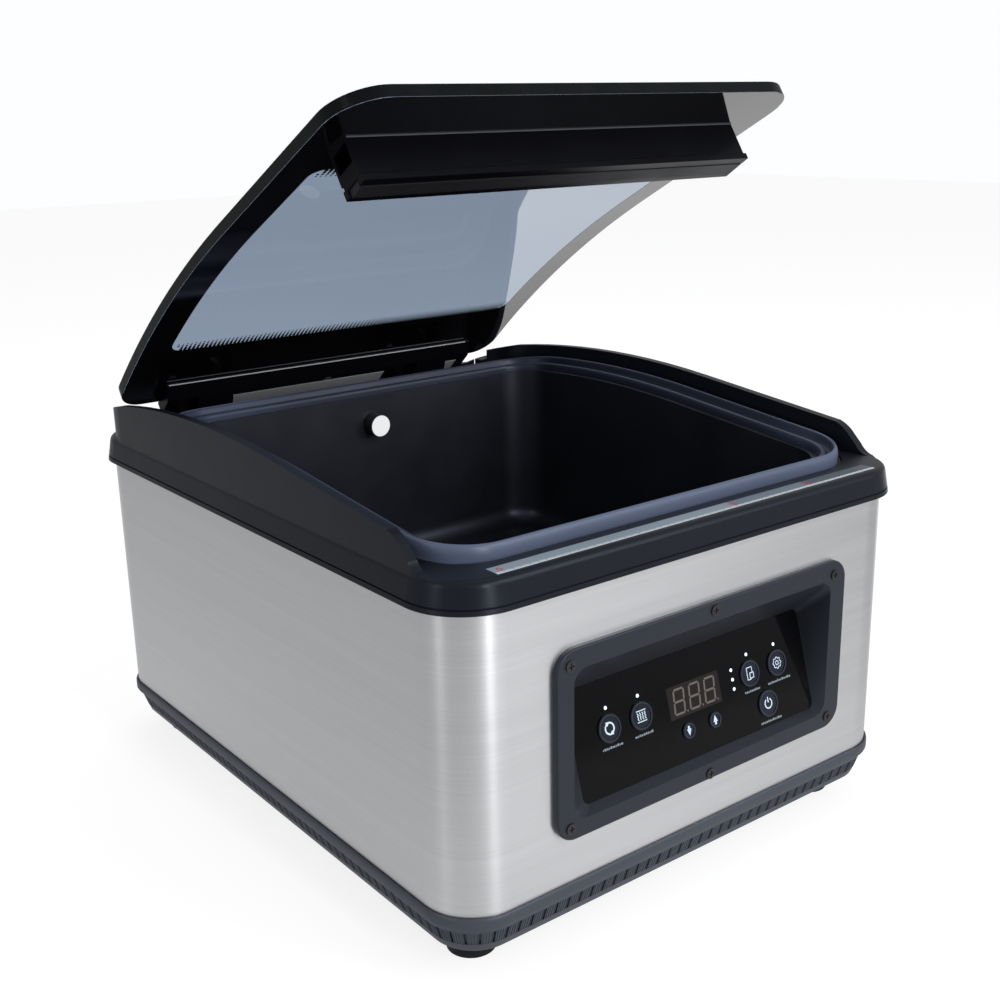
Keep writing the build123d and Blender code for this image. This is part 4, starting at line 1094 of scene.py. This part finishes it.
def ruler():
    """Printed film: three tinted zones, a white front strip with ticks, and plain numbers."""
    (x0, y0, z0), (x1, y1, _) = box_mm("ruler_label")
    cm = (x1 - x0) / SCALE_CM
    strip_y = y0 + STRIP_W
    film = (z0 + 0.02, z0 + 0.30)
    print_z = (z0 + 0.29, z0 + 0.36)
    stops = (x0, x0 + MARKS_CM[0] * cm, x0 + MARKS_CM[1] * cm, x1)
    for index, material in enumerate((LABEL_LIGHT, LABEL_MID, LABEL_DARK)):
        slab("label_zone_%d" % index, (*stops[index:index + 2], strip_y, y1, *film), material)
    strip = slab("label_strip", (x0, x1, y0, strip_y, *film), LABEL_WHITE)
    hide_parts("ruler_label")
    ticks_verts = []
    ticks_faces = []
    for k in range(1, int(2 * SCALE_CM)):
        x = x0 + k * cm / 2
        deep = 1.2 if k % 2 == 0 else 0.7
        span = (x - TICK_HALF_W, x + TICK_HALF_W, strip_y - deep, strip_y, *print_z)
        add_box(ticks_verts, ticks_faces, span)
    ticks = piece("label_ticks", ticks_verts, ticks_faces, LABEL_INK, "housing", smooth=False)
    for text, at_cm in (("0", 0.45), ("16", MARKS_CM[0]), ("22", MARKS_CM[1])):
        curve = bpy.data.curves.new("label_number_" + text, "FONT")
        curve.body = text
        curve.size = 6.4 * MM
        curve.extrude = 0.03 * MM
        curve.align_x = "CENTER"
        curve.materials.append(LABEL_RED)
        number = bpy.data.objects.new("label_number_" + text, curve)
        bpy.context.scene.collection.objects.link(number)
        number.location = ((x0 + at_cm * cm) * MM, (strip_y + 0.8) * MM, (z0 + 0.34) * MM)
        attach(number, "housing")


def add_box(verts, faces, span):
    """Adds an upright box, given by its two limits on each axis, to a mesh in the making."""
    x0, x1, y0, y1, z0, z1 = span
    first = len(verts)
    verts += [(x, y, z) for z in (z0, z1) for x, y in ((x0, y0), (x1, y0), (x1, y1), (x0, y1))]
    for face in ((3, 2, 1, 0), (4, 5, 6, 7), (0, 1, 5, 4), (1, 2, 6, 5), (2, 3, 7, 6), (3, 0, 4, 7)):
        faces.append(tuple(first + k for k in face))


def slab(name, span, material):
    """A thin strip of printed film with softened edges."""
    verts = []
    faces = []
    add_box(verts, faces, span)
    obj = piece(name, verts, faces, material, "housing", smooth=False)
    bevel = obj.modifiers.new("edge", "BEVEL")
    bevel.width = 0.06 * MM
    bevel.segments = 1
    return obj


gasket()
tray()
lid_panel()
lid_border()
fade_dots()
bar_edge_highlight()
hinge_strips()
key_print()
key_ring_highlights()
caption_bars()
digits()
ruler()

# ---------------------------------------------------------------- stage, lights, camera

# How bright the floor looks to the camera itself.
FLOOR_SEEN = 0.82


def floor():
    """A pale floor that looks near white itself but throws a softer light on the machine."""
    size = 6.0
    mesh = bpy.data.meshes.new("floor")
    corners = [(-size, -size, 0), (size, -size, 0), (size, size, 0), (-size, size, 0)]
    mesh.from_pydata(corners, [], [(0, 1, 2, 3)])
    material, nodes, links, shader = new_material("floor_pale")
    grey = noise(nodes, links, 2.0)
    links.new(tint(nodes, links, grey, (0.28, 0.28, 0.28), (0.29, 0.29, 0.29)), shader.inputs["Base Color"])
    shader.inputs["Roughness"].default_value = 0.9
    shader.inputs["Specular IOR Level"].default_value = 0.0
    shader.inputs["Emission Color"].default_value = (1, 1, 1, 1)

    # Light thrown on the machine: dim on the left, brighter before it, dim again on the right,
    # and brightest behind it on the right.
    where = axes(nodes, links, "ShaderNodeTexCoord", "Object")
    left = map_range(nodes, links, where["X"], -0.45, -0.05, 0.19, 0.45)
    fade = map_range(nodes, links, where["X"], 0.0, 0.6, 0.0, -0.27)
    front = calculate(nodes, links, "ADD", left, fade)
    right = map_range(nodes, links, where["X"], 0.0, 0.4)
    back = map_range(nodes, links, where["Y"], -0.2, 0.1, 0.0, 0.75)
    rear = calculate(nodes, links, "MULTIPLY", right, back)
    thrown = calculate(nodes, links, "ADD", front, rear)

    seen = nodes.new("ShaderNodeLightPath").outputs["Is Camera Ray"]
    strength = calculate(nodes, links, "MULTIPLY", seen, FLOOR_SEEN)
    unseen = calculate(nodes, links, "SUBTRACT", 1.0, seen)
    strength = calculate(nodes, links, "ADD", strength, calculate(nodes, links, "MULTIPLY", unseen, thrown))
    links.new(strength, shader.inputs["Emission Strength"])
    mesh.materials.append(material)
    obj = bpy.data.objects.new("floor", mesh)
    bpy.context.scene.collection.objects.link(obj)


def area_light(name, place, target, size, power):
    """A soft rectangle of light at place, aimed at target, which the camera doesn't see."""
    data = bpy.data.lights.new(name, "AREA")
    data.shape = "RECTANGLE"
    data.size = size[0]
    data.size_y = size[1]
    data.energy = power
    obj = bpy.data.objects.new(name, data)
    obj.location = place
    aim = Vector(target) - Vector(place)
    obj.rotation_euler = aim.to_track_quat("-Z", "Y").to_euler()
    bpy.context.scene.collection.objects.link(obj)
    obj.visible_camera = False


def world():
    """White behind the machine; the light it throws falls off towards the horizon."""
    settings = bpy.data.worlds.new("studio")
    settings.use_nodes = True
    nodes = settings.node_tree.nodes
    links = settings.node_tree.links
    toward = axes(nodes, links, "ShaderNodeTexCoord", "Generated")
    height = map_range(nodes, links, toward["Z"], -0.1, 1.0, 0.42, 0.62)
    side = map_range(nodes, links, toward["X"], -1.0, 1.0, 0.76, 0.90)
    thrown = calculate(nodes, links, "MULTIPLY", height, side)
    pick = nodes.new("ShaderNodeMix")
    links.new(nodes.new("ShaderNodeLightPath").outputs["Is Camera Ray"], pick.inputs["Factor"])
    links.new(thrown, pick.inputs["A"])
    pick.inputs["B"].default_value = 1.0
    background = nodes["Background"]
    links.new(pick.outputs["Result"], background.inputs["Strength"])
    background.inputs["Color"].default_value = (0.98, 0.99, 1.0, 1)
    bpy.context.scene.world = settings
    bpy.context.scene.view_settings.view_transform = "Standard"


# The camera stands to the front left, about as high as the open lid's tip, and looks down.
CAMERA_PLACE = (-0.50363, -0.68250, 0.43974)
CAMERA_BEARING = math.radians(37.586)
CAMERA_DIP = math.radians(16.647)
CAMERA_ROLL = math.radians(-1.112)


def camera():
    """A level camera turned by its bearing from the y axis, dipped, then rolled slightly."""
    data = bpy.data.cameras.new("camera")
    data.sensor_width = 36.0
    data.lens = 47.38
    data.clip_start = 0.02
    data.clip_end = 30.0
    obj = bpy.data.objects.new("camera", data)
    bearing = Matrix.Rotation(-CAMERA_BEARING, 4, "Z")
    dip = Matrix.Rotation(math.pi / 2 - CAMERA_DIP, 4, "X")
    roll = Matrix.Rotation(CAMERA_ROLL, 4, "Z")
    obj.matrix_world = Matrix.Translation(CAMERA_PLACE) @ bearing @ dip @ roll
    bpy.context.scene.collection.objects.link(obj)
    bpy.context.scene.camera = obj


# Each light's name, place, target, size and power, in metres and watts.
LIGHTS = (
    ("key_softbox", (1.1, -2.05, 1.75), (0, -0.05, 0.2), (1.3, 1.3), 19),
    ("low_softbox", (1.35, -1.85, 0.72), (0.05, 0.1, 0.2), (0.6, 0.5), 4),
    ("side_strip", (-2.3, -0.35, 0.9), (-0.17, -0.2, 0.12), (0.20, 1.7), 7),
    ("front_strip", (-0.05, -2.5, 0.9), (-0.14, -0.21, 0.12), (0.16, 1.7), 22),
    ("top_softbox", (0.5, 0.9, 2.0), (0, 0, 0.2), (1.4, 1.4), 8),
)

floor()
world()
for light in LIGHTS:
    area_light(*light)
camera()
